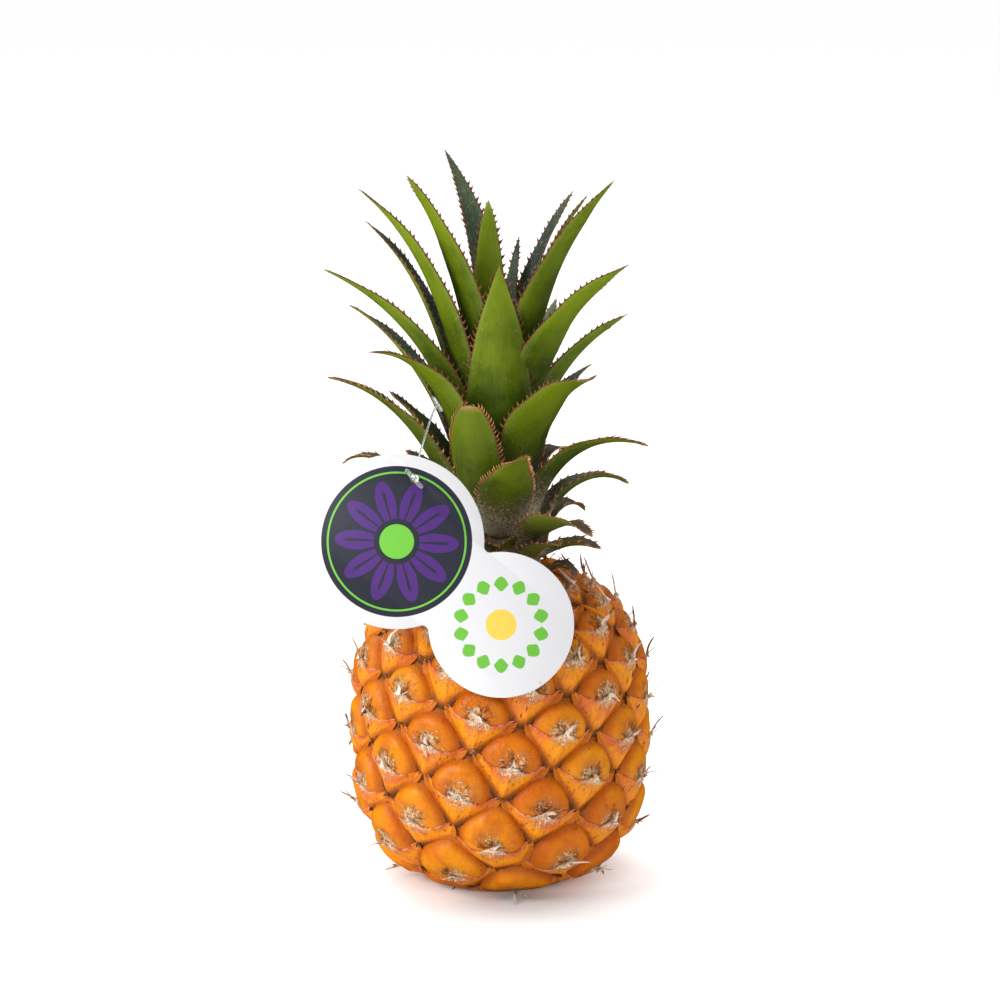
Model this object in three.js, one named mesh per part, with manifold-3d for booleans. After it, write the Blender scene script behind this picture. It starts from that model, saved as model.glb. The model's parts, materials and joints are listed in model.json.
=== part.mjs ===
// A small pineapple with its crown and a swing tag, standing on its cut base.
// Millimetres, +Z up, the front of the fruit faces -Y. The fruitlets of the fruit and the leaves of the
// crown both follow the golden-angle spiral of the living plant.
import * as THREE from "three";
import { ConvexHull } from "three/addons/math/ConvexHull.js";
import { mergeVertices } from "three/addons/utils/BufferGeometryUtils.js";
import Module from "manifold-3d";

const wasm = await Module();
wasm.setup();

// ---- Driving dimensions ----------------------------------------------------------------------------
const GOLDEN_ANGLE = 137.508; // degrees from one fruitlet or leaf to the next
const GAP = 0.3; // clearance between neighbouring pieces
const SLIVER = 0.02; // a cut leaves no detail smaller than this

// Fruit: a barrel given by its radius, its height and how square its shoulders are.
const FRUIT_RADIUS = 42;
const FRUIT_HEIGHT = 93;
const WIDEST_HEIGHT = 45;
const FOOT_REACH = 49; // the barrel would close this far below its widest height, but stands on a flat foot
const FOOT_SQUARENESS = 3.3;
const SHOULDER_SQUARENESS = 3.05;

// Fruitlets ("eyes").
const EYE_AREA = 282; // mm2 of skin for an eye at the widest height
const AREA_LOSS_UP = 0.81; // share of that area lost at the top
const AREA_GAIN_DOWN = 0.79; // share gained at the foot
const FIRST_EYE_AZIMUTH = 264.3;
const EYE_DROP = 1.7; // the spiral starts this many eyes below the whole number
const LOWEST_EYE = -1; // eyes below and above these heights are lost in the foot and the crown seat
const HIGHEST_EYE = 90.5;
const EYE_RING = 0.7; // where the raised part of an eye ends, as a share of the way to its edge
const GROOVE_DEPTH = 1.9;
const DOME_LIFT = 0.6; // upper half of an eye
const BRACT_LIFT = -0.6; // lower half, the bract that slopes up to the tip
const TIP_ROOT_SHARE = 0.16; // root of the dry bract tip, as a share of the way to the edge
const TIP_ROOT_LIFT = 1.2;
const TIP_LIFT = 3.4;
const TIP_RISE = 3.4; // the tip points upward
const FOOT_FADE = 6; // height over which the relief grows from the flat foot

// Stalk stub and crown seat.
const STALK_RADIUS = 7.2;
const STALK_LENGTH = 4.7;
const SEAT_RADIUS = 14.8;
const SEAT_FLOOR_RADIUS = 12.3;
const SEAT_FLOOR = 88.5;
const SEAT_RIM = 91;
const SEAT_CLEAR = 102; // the seat is open up to this height

// Crown: leaf k grows at a height and radius that follow its number, oldest first.
const OLDEST_LEAF = -4;
const YOUNGEST_LEAF = 49;
const FRONT_LEAF = 27; // this leaf faces the front
const FRONT_LEAF_AZIMUTH = 5;
const OLD_ROOT = { radius: 13.2, height: 92.6 };
const YOUNG_ROOT = { radius: 3.7, height: 123.7 };
const BLADE_THICKNESS = 0.8;
const RIB_THICKNESS = 0.4; // added along the middle of a blade
const CHANNEL_RADIUS = 1.25; // radius of a blade's channel, in half widths
const SPINE_PITCH = 9; // length of blade for one pair of spines
const SPINE_LENGTH = 1.4;
const SPINE_FORWARD = 1.2;
const SPINE_ROOM = 1.82; // width kept clear for the spines beside a blade
const FOOT_LEAF_LENGTH = 20; // a leaf at the foot, and what is gained up the stem and lost again in the heart
const LENGTH_GAIN = 42;
const HEART_LOSS = 22;
const FOOT_LEAF_HALF_WIDTH = 4; // the same for half the width of a leaf
const HALF_WIDTH_GAIN = 2;
const HEART_HALF_WIDTH_LOSS = 2.5;
const MIDLINE_STEPS = 48;

// Swing tag: two joined discs on a plastic fastener.
const CARD_THICKNESS = 0.6;
const BIG_DISC_RADIUS = 24;
const SMALL_DISC_RADIUS = 20;
const DISC_SPACING = 36.6;
const WAIST_FILLET = 1.6;
const HOLE_RADIUS = 1.2;
const HOLE_PLACE = [17.8, 113]; // distance from the big disc's centre, and angle from the tag's long axis
const TAG_PLACE = new THREE.Vector3(-28.3, -34.4, 105.5); // the big disc's centre
const TAG_LEAN = 12; // degrees that the card leans back on the fruit
const TAG_TURN = -38.6; // its long axis, degrees above level
const PIN_WIRE_RADIUS = 0.35;
const PIN_BAR_RADIUS = 0.65;
const PIN_BAR_LENGTH = 7;
const PIN_BAR_ANGLE = -9; // from the tag's long axis
const PIN_RISE = [[6.1, 23.4, -1.5], [9.2, 34, -8.5], [10.9, 38, -12]]; // the wire from the card to a leaf
const PIN_END_LENGTH = 5;
const PIN_END_ANGLE = 122; // from level, along the leaf that holds it

// ---- Solids ----------------------------------------------------------------------------------------
/** A closed solid from a three.js geometry. */
function toSolid(geometry) {
  const bare = geometry.clone();
  bare.deleteAttribute("normal");
  bare.deleteAttribute("uv");
  const merged = mergeVertices(bare, 1e-4);
  const vertProperties = new Float32Array(merged.attributes.position.array);
  const triVerts = new Uint32Array(merged.index.array);
  return new wasm.Manifold(new wasm.Mesh({ numProp: 3, vertProperties, triVerts }));
}

/** The three.js geometry of a solid. */
function toGeometry(solid) {
  const { vertProperties, triVerts } = solid.getMesh();
  const geometry = new THREE.BufferGeometry();
  geometry.setAttribute("position", new THREE.BufferAttribute(new Float32Array(vertProperties), 3));
  geometry.setIndex(new THREE.BufferAttribute(new Uint32Array(triVerts), 1));
  geometry.computeVertexNormals();
  return geometry;
}

/** A geometry from a list of points and a list of triangles that index them. */
function facetedGeometry(points, triangles) {
  const geometry = new THREE.BufferGeometry();
  geometry.setAttribute("position", new THREE.Float32BufferAttribute(points.flatMap((p) => p.toArray()), 3));
  geometry.setIndex(triangles.flat());
  return geometry;
}

/** The biggest single body of a solid: the slivers and crumbs that a cut leaves are dropped. */
function biggestBody(solid) {
  const bodies = solid.simplify(SLIVER).decompose();
  return bodies.reduce((best, body) => (body.volume() > best.volume() ? body : best));
}

/** A solid turned about Z from [radius, height] pairs. */
function turned(profile, sides) {
  const points = profile.map(([radius, height]) => new THREE.Vector2(radius, height));
  return toSolid(new THREE.LatheGeometry(points, sides).rotateX(Math.PI / 2));
}

const lerp = THREE.MathUtils.lerp;
const clamp = THREE.MathUtils.clamp;
const radians = THREE.MathUtils.degToRad;
const smooth = (x) => THREE.MathUtils.smoothstep(x, 0, 1);

const Z_AXIS = new THREE.Vector3(0, 0, 1);

/** The point at a radius, an azimuth (0 at the front, growing towards +X) and a height. */
function polar(radius, azimuth, height) {
  return new THREE.Vector3(radius * Math.sin(azimuth), -radius * Math.cos(azimuth), height);
}

// ---- Fruit -----------------------------------------------------------------------------------------
/** Radius of the smooth fruit at a height. */
function fruitRadius(z) {
  const below = z < WIDEST_HEIGHT;
  const reach = below ? FOOT_REACH : FRUIT_HEIGHT - WIDEST_HEIGHT;
  const power = below ? FOOT_SQUARENESS : SHOULDER_SQUARENESS;
  return FRUIT_RADIUS * Math.sqrt(Math.max(0, 1 - (Math.abs(z - WIDEST_HEIGHT) / reach) ** power));
}

/** Skin area of an eye at a height. */
function eyeArea(z) {
  const h = (z - WIDEST_HEIGHT) / FOOT_REACH;
  return EYE_AREA * (h > 0 ? 1 - AREA_LOSS_UP * h * h : 1 + AREA_GAIN_DOWN * h * h);
}

/**
 * The smooth profile walked from pole to pole, as rows of height, radius, count of eyes so far and
 * conformal latitude. That latitude maps the skin to a sphere without distorting the shape of the eyes.
 */
function walkProfile() {
  const steps = 800;
  const [low, high] = [WIDEST_HEIGHT - FOOT_REACH, FRUIT_HEIGHT];
  const rows = [];
  let count = 0;
  let mercator = 0;
  for (let i = 1; i < steps; i += 1) {
    const z = lerp(low, high, (1 - Math.cos((Math.PI * i) / steps)) / 2);
    const radius = fruitRadius(z);
    if (rows.length) {
      const last = rows[rows.length - 1];
      const length = Math.hypot(z - last.z, radius - last.radius);
      const middle = (radius + last.radius) / 2;
      count += (2 * Math.PI * middle * length) / eyeArea(z);
      mercator += length / middle;
    }
    rows.push({ z, radius, count, mercator });
  }
  const equator = rows.find((row) => row.z >= WIDEST_HEIGHT).mercator;
  rows.forEach((row) => (row.latitude = 2 * Math.atan(Math.exp(row.mercator - equator)) - Math.PI / 2));
  return rows;
}
const PROFILE = walkProfile();

/** The profile row where a quantity that grows upward reaches a value. */
function profileAt(key, value) {
  const next = clamp(PROFILE.findIndex((row) => row[key] >= value), 1, PROFILE.length - 1);
  const [a, b] = [PROFILE[next - 1], PROFILE[next]];
  const t = clamp((value - a[key]) / (b[key] - a[key]), 0, 1);
  const slope = Math.atan2(a.radius - b.radius, b.z - a.z); // how far the skin faces upward
  const between = (name) => lerp(a[name], b[name], t);
  return { z: between("z"), radius: between("radius"), latitude: between("latitude"), slope };
}

/** Unit vector for a latitude and an azimuth. */
function direction(latitude, azimuth) {
  return polar(Math.cos(latitude), azimuth, Math.sin(latitude));
}

/** The point of the skin that a unit vector stands for, lifted along the skin's normal. */
function skinPoint(unit, lift) {
  const row = profileAt("latitude", Math.asin(clamp(unit.z, -1, 1)));
  const azimuth = Math.atan2(unit.x, -unit.y);
  const raised = lift * smooth(row.z / FOOT_FADE);
  const [out, up] = [raised * Math.cos(row.slope), raised * Math.sin(row.slope)];
  const point = polar(row.radius + out, azimuth, row.z + up);
  point.z = Math.max(point.z, GAP);
  return point;
}

/** Unit vectors of the eyes, followed by those of the two poles. */
function eyeDirections() {
  const units = [];
  const total = PROFILE[PROFILE.length - 1].count;
  for (let i = 2; i < total + 1 - EYE_DROP; i += 1) {
    const row = profileAt("count", i + 1 - EYE_DROP);
    const azimuth = radians(FIRST_EYE_AZIMUTH + GOLDEN_ANGLE * i);
    if (row.z > LOWEST_EYE && row.z < HIGHEST_EYE) units.push(direction(row.latitude, azimuth));
  }
  return [...units, new THREE.Vector3(0, 0, -1), new THREE.Vector3(0, 0, 1)];
}

/** For each unit vector, the triangles of its neighbours in order, counter-clockwise from outside. */
function neighbourRings(units) {
  const hull = new ConvexHull().setFromPoints(units);
  const indexOf = new Map(units.map((unit, index) => [unit, index]));
  const next = units.map(() => new Map());
  for (const face of hull.faces) {
    const corners = [0, 1, 2].map((i) => indexOf.get(face.getEdge(i).head().point));
    for (let i = 0; i < 3; i += 1) next[corners[i]].set(corners[(i + 1) % 3], corners[(i + 2) % 3]);
  }
  return next.map((around) => {
    const first = around.keys().next().value;
    const ring = [first];
    while (around.get(ring[ring.length - 1]) !== first) ring.push(around.get(ring[ring.length - 1]));
    return ring;
  });
}

/** The fruit's skin: eyes with a dome above, a bract below and a tip between, parted by grooves. */
function fruitSkin() {
  const units = eyeDirections();
  const rings = neighbourRings(units);
  const poles = [units.length - 2, units.length - 1];
  const points = [];
  const triangles = [];
  const shared = new Map();
  const add = (point) => points.push(point) - 1;
  const blend = (a, b, t) => a.clone().lerp(b, t).normalize();
  const groove = (members) => {
    const key = [...members].sort((a, b) => a - b).join(" ");
    if (!shared.has(key)) {
      const unit = members.reduce((sum, m) => sum.add(units[m]), new THREE.Vector3()).normalize();
      const point = skinPoint(unit, -GROOVE_DEPTH);
      if (members.includes(poles[0])) point.z = 0;
      shared.set(key, { unit, index: add(point) });
    }
    return shared.get(key);
  };
  rings.forEach((ring, eye) => {
    const edge = ring.flatMap((other, i) => {
      const after = ring[(i + 1) % ring.length];
      return [groove([eye, other]), groove([eye, other, after])];
    });
    const count = edge.length;
    if (poles.includes(eye)) {
      const top = eye === poles[1];
      const middle = add(top ? new THREE.Vector3(0, 0, FRUIT_HEIGHT) : new THREE.Vector3());
      edge.forEach((corner, i) => triangles.push([middle, corner.index, edge[(i + 1) % count].index]));
      return;
    }
    const centre = units[eye];
    const place = (corner, share, lift) => add(skinPoint(blend(centre, corner.unit, share), lift));
    const above = (corner) => corner.unit.z > centre.z;
    const ringIds = edge.map((corner) => place(corner, EYE_RING, above(corner) ? DOME_LIFT : BRACT_LIFT));
    const rootIds = edge.map((corner, i) => (i % 4 ? null : place(corner, TIP_ROOT_SHARE, TIP_ROOT_LIFT)));
    const rootOf = (i) => rootIds[(Math.floor((((i % count) + count) % count) / 4) * 4)];
    const rise = TIP_RISE * smooth(centre.z + 1);
    const tip = add(skinPoint(centre, TIP_LIFT).addScaledVector(Z_AXIS, rise));
    edge.forEach((corner, i) => {
      const j = (i + 1) % count;
      triangles.push([ringIds[i], corner.index, edge[j].index], [ringIds[i], edge[j].index, ringIds[j]]);
      triangles.push([rootOf(i), ringIds[i], ringIds[j]]);
      if (rootOf(i) !== rootOf(j)) {
        triangles.push([rootOf(i), ringIds[j], rootOf(j)], [tip, rootOf(i), rootOf(j)]);
      }
    });
  });
  return facetedGeometry(points, triangles);
}

/** The whole fruit, with the recess of the stalk and the seat of the crown cut out. */
function fruitSolid(keepOut) {
  const recess = turned([[0, -1], [STALK_RADIUS + GAP, -1], [STALK_RADIUS + GAP, STALK_LENGTH + GAP],
    [0, STALK_LENGTH + GAP]], 24);
  const seat = turned([[0, SEAT_FLOOR], [SEAT_FLOOR_RADIUS, SEAT_FLOOR], [SEAT_RADIUS, SEAT_RIM],
    [SEAT_RADIUS, SEAT_CLEAR], [0, SEAT_CLEAR]], 24);
  return biggestBody(toSolid(fruitSkin()).subtract(recess).subtract(seat).subtract(keepOut));
}

// ---- Crown -----------------------------------------------------------------------------------------
// Leaves that stand apart from the rule below. Lean is in degrees outward from upright, at the root and at
// the tip. A late leaf bends near its tip, a blunt one (under 0.9) is broad near its tip, roll turns the
// blade about its own length and turn moves the leaf from its place in the spiral.
const NOTED_LEAVES = new Map([
  [-4, { length: 13, root: 45, tip: 170, half: 3 }],
  [-1, { length: 26, root: 5, tip: 160, late: 2, half: 5, turn: 4 }],
  [4, { length: 20, root: 60, tip: 115, late: 1.6, half: 4.5, turn: -16 }],
  [6, { length: 16, root: 40, tip: 110, half: 6 }],
  [7, { length: 39, root: -5, tip: 130, late: 1.6, half: 5, turn: 8 }],
  [8, { length: 45, root: 38, tip: 150, late: 4.5, half: 5.5, roll: 5 }],
  [9, { length: 40.5, root: 56, tip: 113, late: 1.9, half: 6.5, turn: -19, roll: -15 }],
  [11, { length: 14, root: 60, tip: 100, half: 5 }],
  [12, { length: 35, root: 28, tip: 132, late: 1.6, half: 5.8, turn: 3, roll: -8 }],
  [13, { length: 30, root: 30, tip: 70 }],
  [14, { length: 51, root: 34, tip: 78, late: 1.4, half: 8, turn: -15, blunt: 2, sway: 6 }],
  [15, { root: 22, tip: 66 }],
  [16, { length: 63, root: 24, tip: 81, late: 2.1, half: 7.2, turn: -4, roll: -2 }],
  [17, { length: 50, root: 12, tip: 107, late: 1.2, half: 5.6, turn: -6, roll: -8 }],
  [19, { length: 38, root: 31, tip: -8, half: 8.2, turn: -10, blunt: 0.35 }],
  [20, { length: 51, root: 9, tip: 75, half: 4.2, turn: 11 }],
  [21, { length: 42, root: 20, tip: 55 }],
  [22, { length: 64, root: -2, tip: 76, late: 0.8, half: 8.2, turn: -7, blunt: 0.45 }],
  [24, { length: 66, root: 12, tip: 92, late: 2.1, half: 8, turn: -6, roll: -2 }],
  [25, { length: 65.2, root: -5, tip: 63, late: 1.1, half: 6.6, roll: -26 }],
  [26, { length: 75.5, root: 29, tip: 78, late: 1.8, half: 6.4, roll: 22 }],
  [27, { length: 70.3, root: 10, tip: -4, half: 11, turn: -6, blunt: 1.15 }],
  [28, { turn: 13 }],
  [29, { length: 82, root: 7, tip: 67, late: 1.3, half: 8, roll: 12 }],
  [30, { length: 85, root: -5, tip: 65, late: 1, half: 7.2, turn: -9, roll: -10 }],
  [32, { length: 83, root: 0, tip: 0, half: 6.2, roll: 15, blunt: 0.7 }],
  [33, { length: 38, root: 5, tip: 35 }],
  [34, { length: 83, root: 14, tip: 58, late: 2.7, half: 6.6, roll: 12 }],
  [35, { length: 40, root: 0, tip: 5, half: 4 }],
  [37, { length: 95.5, root: 11, tip: 57, late: 2.3, half: 6 }],
  [38, { length: 86, root: -5, tip: 41, late: 1.4, half: 4.4, turn: -3 }],
  [39, { length: 96, root: -5, tip: 49, late: 1.8, half: 6 }],
  [40, { length: 40, root: -4, tip: 8, half: 4 }],
  [41, { length: 83, root: -5, tip: 45, late: 1.4, half: 4.2, turn: -2 }],
  [42, { length: 40, root: 5, tip: 18 }],
  [43, { length: 93.2, root: 4, tip: 50, late: 1.4, half: 8.2, turn: 6, roll: 2 }],
  [45, { length: 90.2, root: 7, tip: 44, late: 1.8, half: 7, turn: -7, roll: -4 }],
  [49, { length: 61, root: -3, tip: 21, late: 1.4, half: 3.5 }],
]);

/** Everything that shapes leaf k, from the spiral rule and the notes above. */
function leafPlan(k) {
  const age = (YOUNGEST_LEAF - k) / (YOUNGEST_LEAF - OLDEST_LEAF); // 0 for the heart, 1 for the oldest
  const rank = k / YOUNGEST_LEAF;
  const heart = smooth((0.3 - age) / 0.2); // 1 for the young leaves in the middle
  const rule = {
    length: FOOT_LEAF_LENGTH + LENGTH_GAIN * smooth((1 - age) * 1.6) - HEART_LOSS * heart,
    root: lerp(3, 50, age),
    tip: lerp(12, 100, age),
    late: 1.5,
    half: FOOT_LEAF_HALF_WIDTH + HALF_WIDTH_GAIN * smooth((1 - age) * 2) - HEART_HALF_WIDTH_LOSS * heart,
    turn: 0,
    roll: 0,
    sway: 0,
    blunt: 0.9,
  };
  const noted = { ...rule, ...NOTED_LEAVES.get(k) };
  return {
    ...noted,
    azimuth: radians(FRONT_LEAF_AZIMUTH + GOLDEN_ANGLE * (k - FRONT_LEAF) + noted.turn),
    radius: lerp(OLD_ROOT.radius, YOUNG_ROOT.radius, rank),
    height: lerp(OLD_ROOT.height, YOUNG_ROOT.height, rank),
  };
}

/** The middle line of a leaf as points with their tangents, from root to tip. */
function leafMidline(plan) {
  const step = plan.length / MIDLINE_STEPS;
  const line = [];
  let { radius, height } = plan;
  for (let i = 0; i <= MIDLINE_STEPS; i += 1) {
    const lean = radians(lerp(plan.root, plan.tip, (i / MIDLINE_STEPS) ** plan.late));
    line.push({ radius, height, lean });
    radius += step * Math.sin(lean);
    height += step * Math.cos(lean);
  }
  return line;
}

/** Half the width and the radius of the channel of a leaf at a share s of its length. */
function leafSection(plan, s) {
  const spread = smooth(s / 0.3);
  const rootHalf = Math.min(0.8 * plan.half, 1.05 * plan.radius);
  const half = lerp(rootHalf, plan.half, spread) * (1 - s ** 2.8) ** plan.blunt;
  const bend = lerp(plan.radius, CHANNEL_RADIUS * plan.half, spread);
  return { half: Math.max(half, BLADE_THICKNESS / 2), bend };
}

/** One station of a blade: four points across its outer face, then four across its inner face. */
function leafStation(plan, place, s, grow) {
  const { half, bend } = leafSection(plan, s);
  const outward = polar(1, plan.azimuth, 0);
  const across = polar(1, plan.azimuth + Math.PI / 2, 0);
  const inward = outward.multiplyScalar(-Math.cos(place.lean)).addScaledVector(Z_AXIS, Math.sin(place.lean));
  const along = polar(Math.sin(place.lean), plan.azimuth, Math.cos(place.lean));
  const middle = polar(place.radius, plan.azimuth, place.height).addScaledVector(across, plan.sway * s * s);
  const roll = radians(plan.roll) * smooth(s / 0.5);
  across.applyAxisAngle(along, roll);
  inward.applyAxisAngle(along, roll);
  const reach = half + (grow ? grow + SPINE_ROOM : 0);
  return [-1, 1].flatMap((face) =>
    [-1, -0.4, 0.4, 1].map((share) => {
      const x = share * reach;
      const curl = (x * x) / (2 * bend);
      const rib = Math.abs(share) < 1 ? RIB_THICKNESS * (1 - s) : 0;
      const thick = face * ((BLADE_THICKNESS + (face < 0 ? rib : 0)) / 2 + grow);
      return middle.clone().addScaledVector(across, x).addScaledVector(inward, curl + thick);
    }),
  );
}

/** The closed blade of a leaf with hooked spines on both edges, or a plain one that is grown all round. */
function leafBlade(plan, grow = 0) {
  const line = leafMidline(plan);
  const count = Math.max(3, Math.round(plan.length / SPINE_PITCH));
  const points = [];
  const triangles = [];
  const quad = (a, b, c, d) => triangles.push([a, b, c], [a, c, d]);
  for (let i = 0; i <= count; i += 1) {
    const s = i / count;
    const place = line[Math.round(s * MIDLINE_STEPS)];
    const station = leafStation(plan, place, s, grow);
    const beyond = i === 0 ? -grow : i === count ? grow : 0;
    const along = polar(Math.sin(place.lean), plan.azimuth, Math.cos(place.lean)).multiplyScalar(beyond);
    station.forEach((point) => points.push(point.add(along)));
  }
  const spine = (corners, side, forward) => {
    const share = clamp(plan.length / count / SPINE_PITCH, 0.5, 1);
    const tip = corners.reduce((sum, id) => sum.add(points[id]), new THREE.Vector3()).divideScalar(4);
    tip.addScaledVector(side, SPINE_LENGTH * share).addScaledVector(forward, SPINE_FORWARD * share);
    const apex = points.push(tip) - 1;
    corners.forEach((corner, i) => triangles.push([corner, corners[(i + 1) % 4], apex]));
  };
  for (let i = 0; i < count; i += 1) {
    const [a, b] = [8 * i, 8 * i + 8];
    for (let j = 0; j < 3; j += 1) {
      quad(a + j, a + j + 1, b + j + 1, b + j);
      quad(a + 4 + j, b + 4 + j, b + 5 + j, a + 5 + j);
    }
    if (grow) {
      quad(a, b, b + 4, a + 4);
      quad(a + 3, a + 7, b + 7, b + 3);
    } else {
      const forward = points[b].clone().sub(points[a]).normalize();
      const [left, right] = [points[b].clone().sub(points[b + 1]), points[b + 3].clone().sub(points[b + 2])];
      spine([a, b, b + 4, a + 4], left.normalize(), forward);
      spine([a + 3, a + 7, b + 7, b + 3], right.normalize(), forward);
    }
  }
  const last = 8 * count;
  for (let j = 0; j < 3; j += 1) {
    quad(j, j + 4, j + 5, j + 1);
    quad(last + j, last + j + 1, last + j + 5, last + j + 4);
  }
  return toSolid(facetedGeometry(points, triangles));
}

/** The cone in the middle of the rosette, inside all the leaf roots, or a copy grown all round. */
function crownStem(grow = 0) {
  const foot = SEAT_FLOOR + GAP - grow;
  const wall = BLADE_THICKNESS / 2 + RIB_THICKNESS + GAP + 0.4 - grow;
  return turned([
    [0, foot],
    [OLD_ROOT.radius - wall, foot],
    [OLD_ROOT.radius - wall, OLD_ROOT.height],
    [YOUNG_ROOT.radius - wall, YOUNG_ROOT.height],
    [0, YOUNG_ROOT.height + 2 + grow],
  ], 20);
}

// ---- Swing tag -------------------------------------------------------------------------------------
/** Outline of the card: the two discs with a small fillet on each side of the waist. */
function cardShape(grow = 0) {
  const big = BIG_DISC_RADIUS + grow;
  const small = SMALL_DISC_RADIUS + grow;
  const fillet = WAIST_FILLET - grow;
  // The fillet's centre lies at these distances from the two disc centres.
  const [toBig, toSmall] = [big + fillet, small + fillet];
  const along = (DISC_SPACING ** 2 + toBig ** 2 - toSmall ** 2) / (2 * DISC_SPACING);
  const aside = Math.sqrt(toBig ** 2 - along ** 2);
  const bigAngle = Math.atan2(aside, along);
  const smallAngle = Math.atan2(aside, along - DISC_SPACING);
  const shape = new THREE.Shape();
  shape.absarc(0, 0, big, bigAngle, 2 * Math.PI - bigAngle, false);
  shape.absarc(along, -aside, fillet, Math.PI - bigAngle, Math.PI - smallAngle, true);
  shape.absarc(DISC_SPACING, 0, small, -smallAngle, smallAngle, false);
  shape.absarc(along, aside, fillet, smallAngle + Math.PI, bigAngle + Math.PI, true);
  return shape;
}

/** The card lying in its own plane, its printed face towards +Z and its long axis along +X. */
function cardGeometry(grow = 0) {
  const shape = cardShape(grow);
  if (!grow) {
    const [distance, angle] = [HOLE_PLACE[0], radians(HOLE_PLACE[1])];
    const hole = new THREE.Path();
    hole.absarc(distance * Math.cos(angle), distance * Math.sin(angle), HOLE_RADIUS, 0, 2 * Math.PI, true);
    shape.holes.push(hole);
  }
  const options = { depth: CARD_THICKNESS + 2 * grow, bevelEnabled: false, curveSegments: 12 };
  return new THREE.ExtrudeGeometry(shape, options).translate(0, 0, -grow);
}

/** A round bar between two points. */
function bar(from, to, radius) {
  const line = new THREE.LineCurve3(from, to);
  return rod(line, radius, 1);
}

/** A rod of eight sides along a curve. */
function rod(curve, radius, steps) {
  const section = new THREE.Shape().absarc(0, 0, radius, 0, 2 * Math.PI, false);
  const options = { steps, extrudePath: curve, curveSegments: 4, bevelEnabled: false };
  return toSolid(new THREE.ExtrudeGeometry(section, options));
}

/** The fastener in the tag's own frame: a bar in front of the card, and a wire through it and up. */
function pinSolid(grow = 0) {
  const [distance, angle] = [HOLE_PLACE[0], radians(HOLE_PLACE[1])];
  const front = CARD_THICKNESS + GAP + PIN_BAR_RADIUS;
  const hole = new THREE.Vector3(distance * Math.cos(angle), distance * Math.sin(angle), front);
  const turn = radians(-TAG_TURN);
  const rise = PIN_RISE.map(([x, y, z]) => new THREE.Vector3(x, y, z).applyAxisAngle(Z_AXIS, turn));
  const behind = hole.clone().setZ(-1.2);
  const wire = new THREE.CatmullRomCurve3([hole, behind, ...rise]);
  const lie = new THREE.Vector3(PIN_BAR_LENGTH / 2, 0, 0).applyAxisAngle(Z_AXIS, radians(PIN_BAR_ANGLE));
  const holdAngle = radians(PIN_END_ANGLE - TAG_TURN);
  const hold = new THREE.Vector3(PIN_END_LENGTH / 2, 0, 0).applyAxisAngle(Z_AXIS, holdAngle);
  const end = rise[rise.length - 1];
  return rod(wire, PIN_WIRE_RADIUS + grow, 14)
    .add(bar(hole.clone().sub(lie), hole.clone().add(lie), PIN_BAR_RADIUS + grow))
    .add(bar(end.clone().sub(hold), end.clone().add(hold), PIN_BAR_RADIUS + grow));
}

// ---- Assembly --------------------------------------------------------------------------------------
const finish = (color, roughness) => new THREE.MeshStandardMaterial({ color, roughness, metalness: 0 });

/** A named mesh of a solid. */
function piece(name, solid, color, roughness) {
  const mesh = new THREE.Mesh(toGeometry(solid), finish(color, roughness));
  mesh.name = name;
  return mesh;
}

/** The frame of the tag: its plane leans back and its long axis runs down to the right. */
function tagFrame() {
  const frame = new THREE.Group();
  frame.position.copy(TAG_PLACE);
  frame.rotation.set(radians(90 - TAG_LEAN), 0, radians(TAG_TURN));
  frame.updateMatrixWorld(true);
  return frame;
}

/** Whether the boxes round two solids meet. */
function boxesMeet(one, other) {
  const [a, b] = [one.boundingBox(), other.boundingBox()];
  return [0, 1, 2].every((i) => a.min[i] < b.max[i] && b.min[i] < a.max[i]);
}

/** The leaves, oldest first, each trimmed clear of the pieces and older leaves that it would cross. */
function crownLeaves(fixedPieces) {
  const rooms = [...fixedPieces];
  const leaves = [];
  for (let k = OLDEST_LEAF; k <= YOUNGEST_LEAF; k += 1) {
    const plan = leafPlan(k);
    const blade = leafBlade(plan);
    const near = rooms.filter((room) => boxesMeet(room, blade));
    const leaf = biggestBody(near.reduce((rest, room) => rest.subtract(room), blade));
    // A spine of an older leaf may still stand in this one.
    const pricked = leaves.filter((other) => boxesMeet(other, leaf) && !other.intersect(leaf).isEmpty());
    leaves.push(biggestBody(pricked.reduce((rest, other) => rest.subtract(other), leaf)));
    rooms.push(leafBlade(plan, GAP));
  }
  return leaves;
}

/** The cut end of the fruit stalk, flush with the foot of the fruit. */
function stalkStub() {
  return turned([[0, 0], [STALK_RADIUS, 0], [STALK_RADIUS, STALK_LENGTH], [0, STALK_LENGTH]], 24);
}

/** The fruit grown by the gap on every side but below. */
function roomRound(solid) {
  const shifts = [[GAP, 0, 0], [-GAP, 0, 0], [0, GAP, 0], [0, -GAP, 0], [0, 0, GAP]];
  return wasm.Manifold.union(shifts.map((shift) => solid.translate(shift)));
}

const model = new THREE.Group();
const tag = tagFrame();
const inPlace = (solid) => solid.transform(tag.matrixWorld.toArray());
const cardRoom = inPlace(toSolid(cardGeometry(GAP)));
const pinRoom = inPlace(pinSolid(GAP));

const fruit = fruitSolid(cardRoom);
model.add(piece("fruit", fruit, "#e58a1e", 0.4));
model.add(piece("stalk", stalkStub(), "#a88a5c", 0.9));
model.add(piece("crown_stem", crownStem(), "#b7a06a", 0.8));
crownLeaves([roomRound(fruit), crownStem(GAP), cardRoom, pinRoom]).forEach((leaf, i) => {
  model.add(piece(`crown_leaf_${String(i + 1).padStart(2, "0")}`, leaf, "#6e8a2c", 0.5));
});

tag.add(piece("tag_card", toSolid(cardGeometry()), "#e8e8ea", 0.6));
tag.add(piece("tag_pin", pinSolid(), "#dfe3e6", 0.3));
model.add(tag);

export default model;
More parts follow.
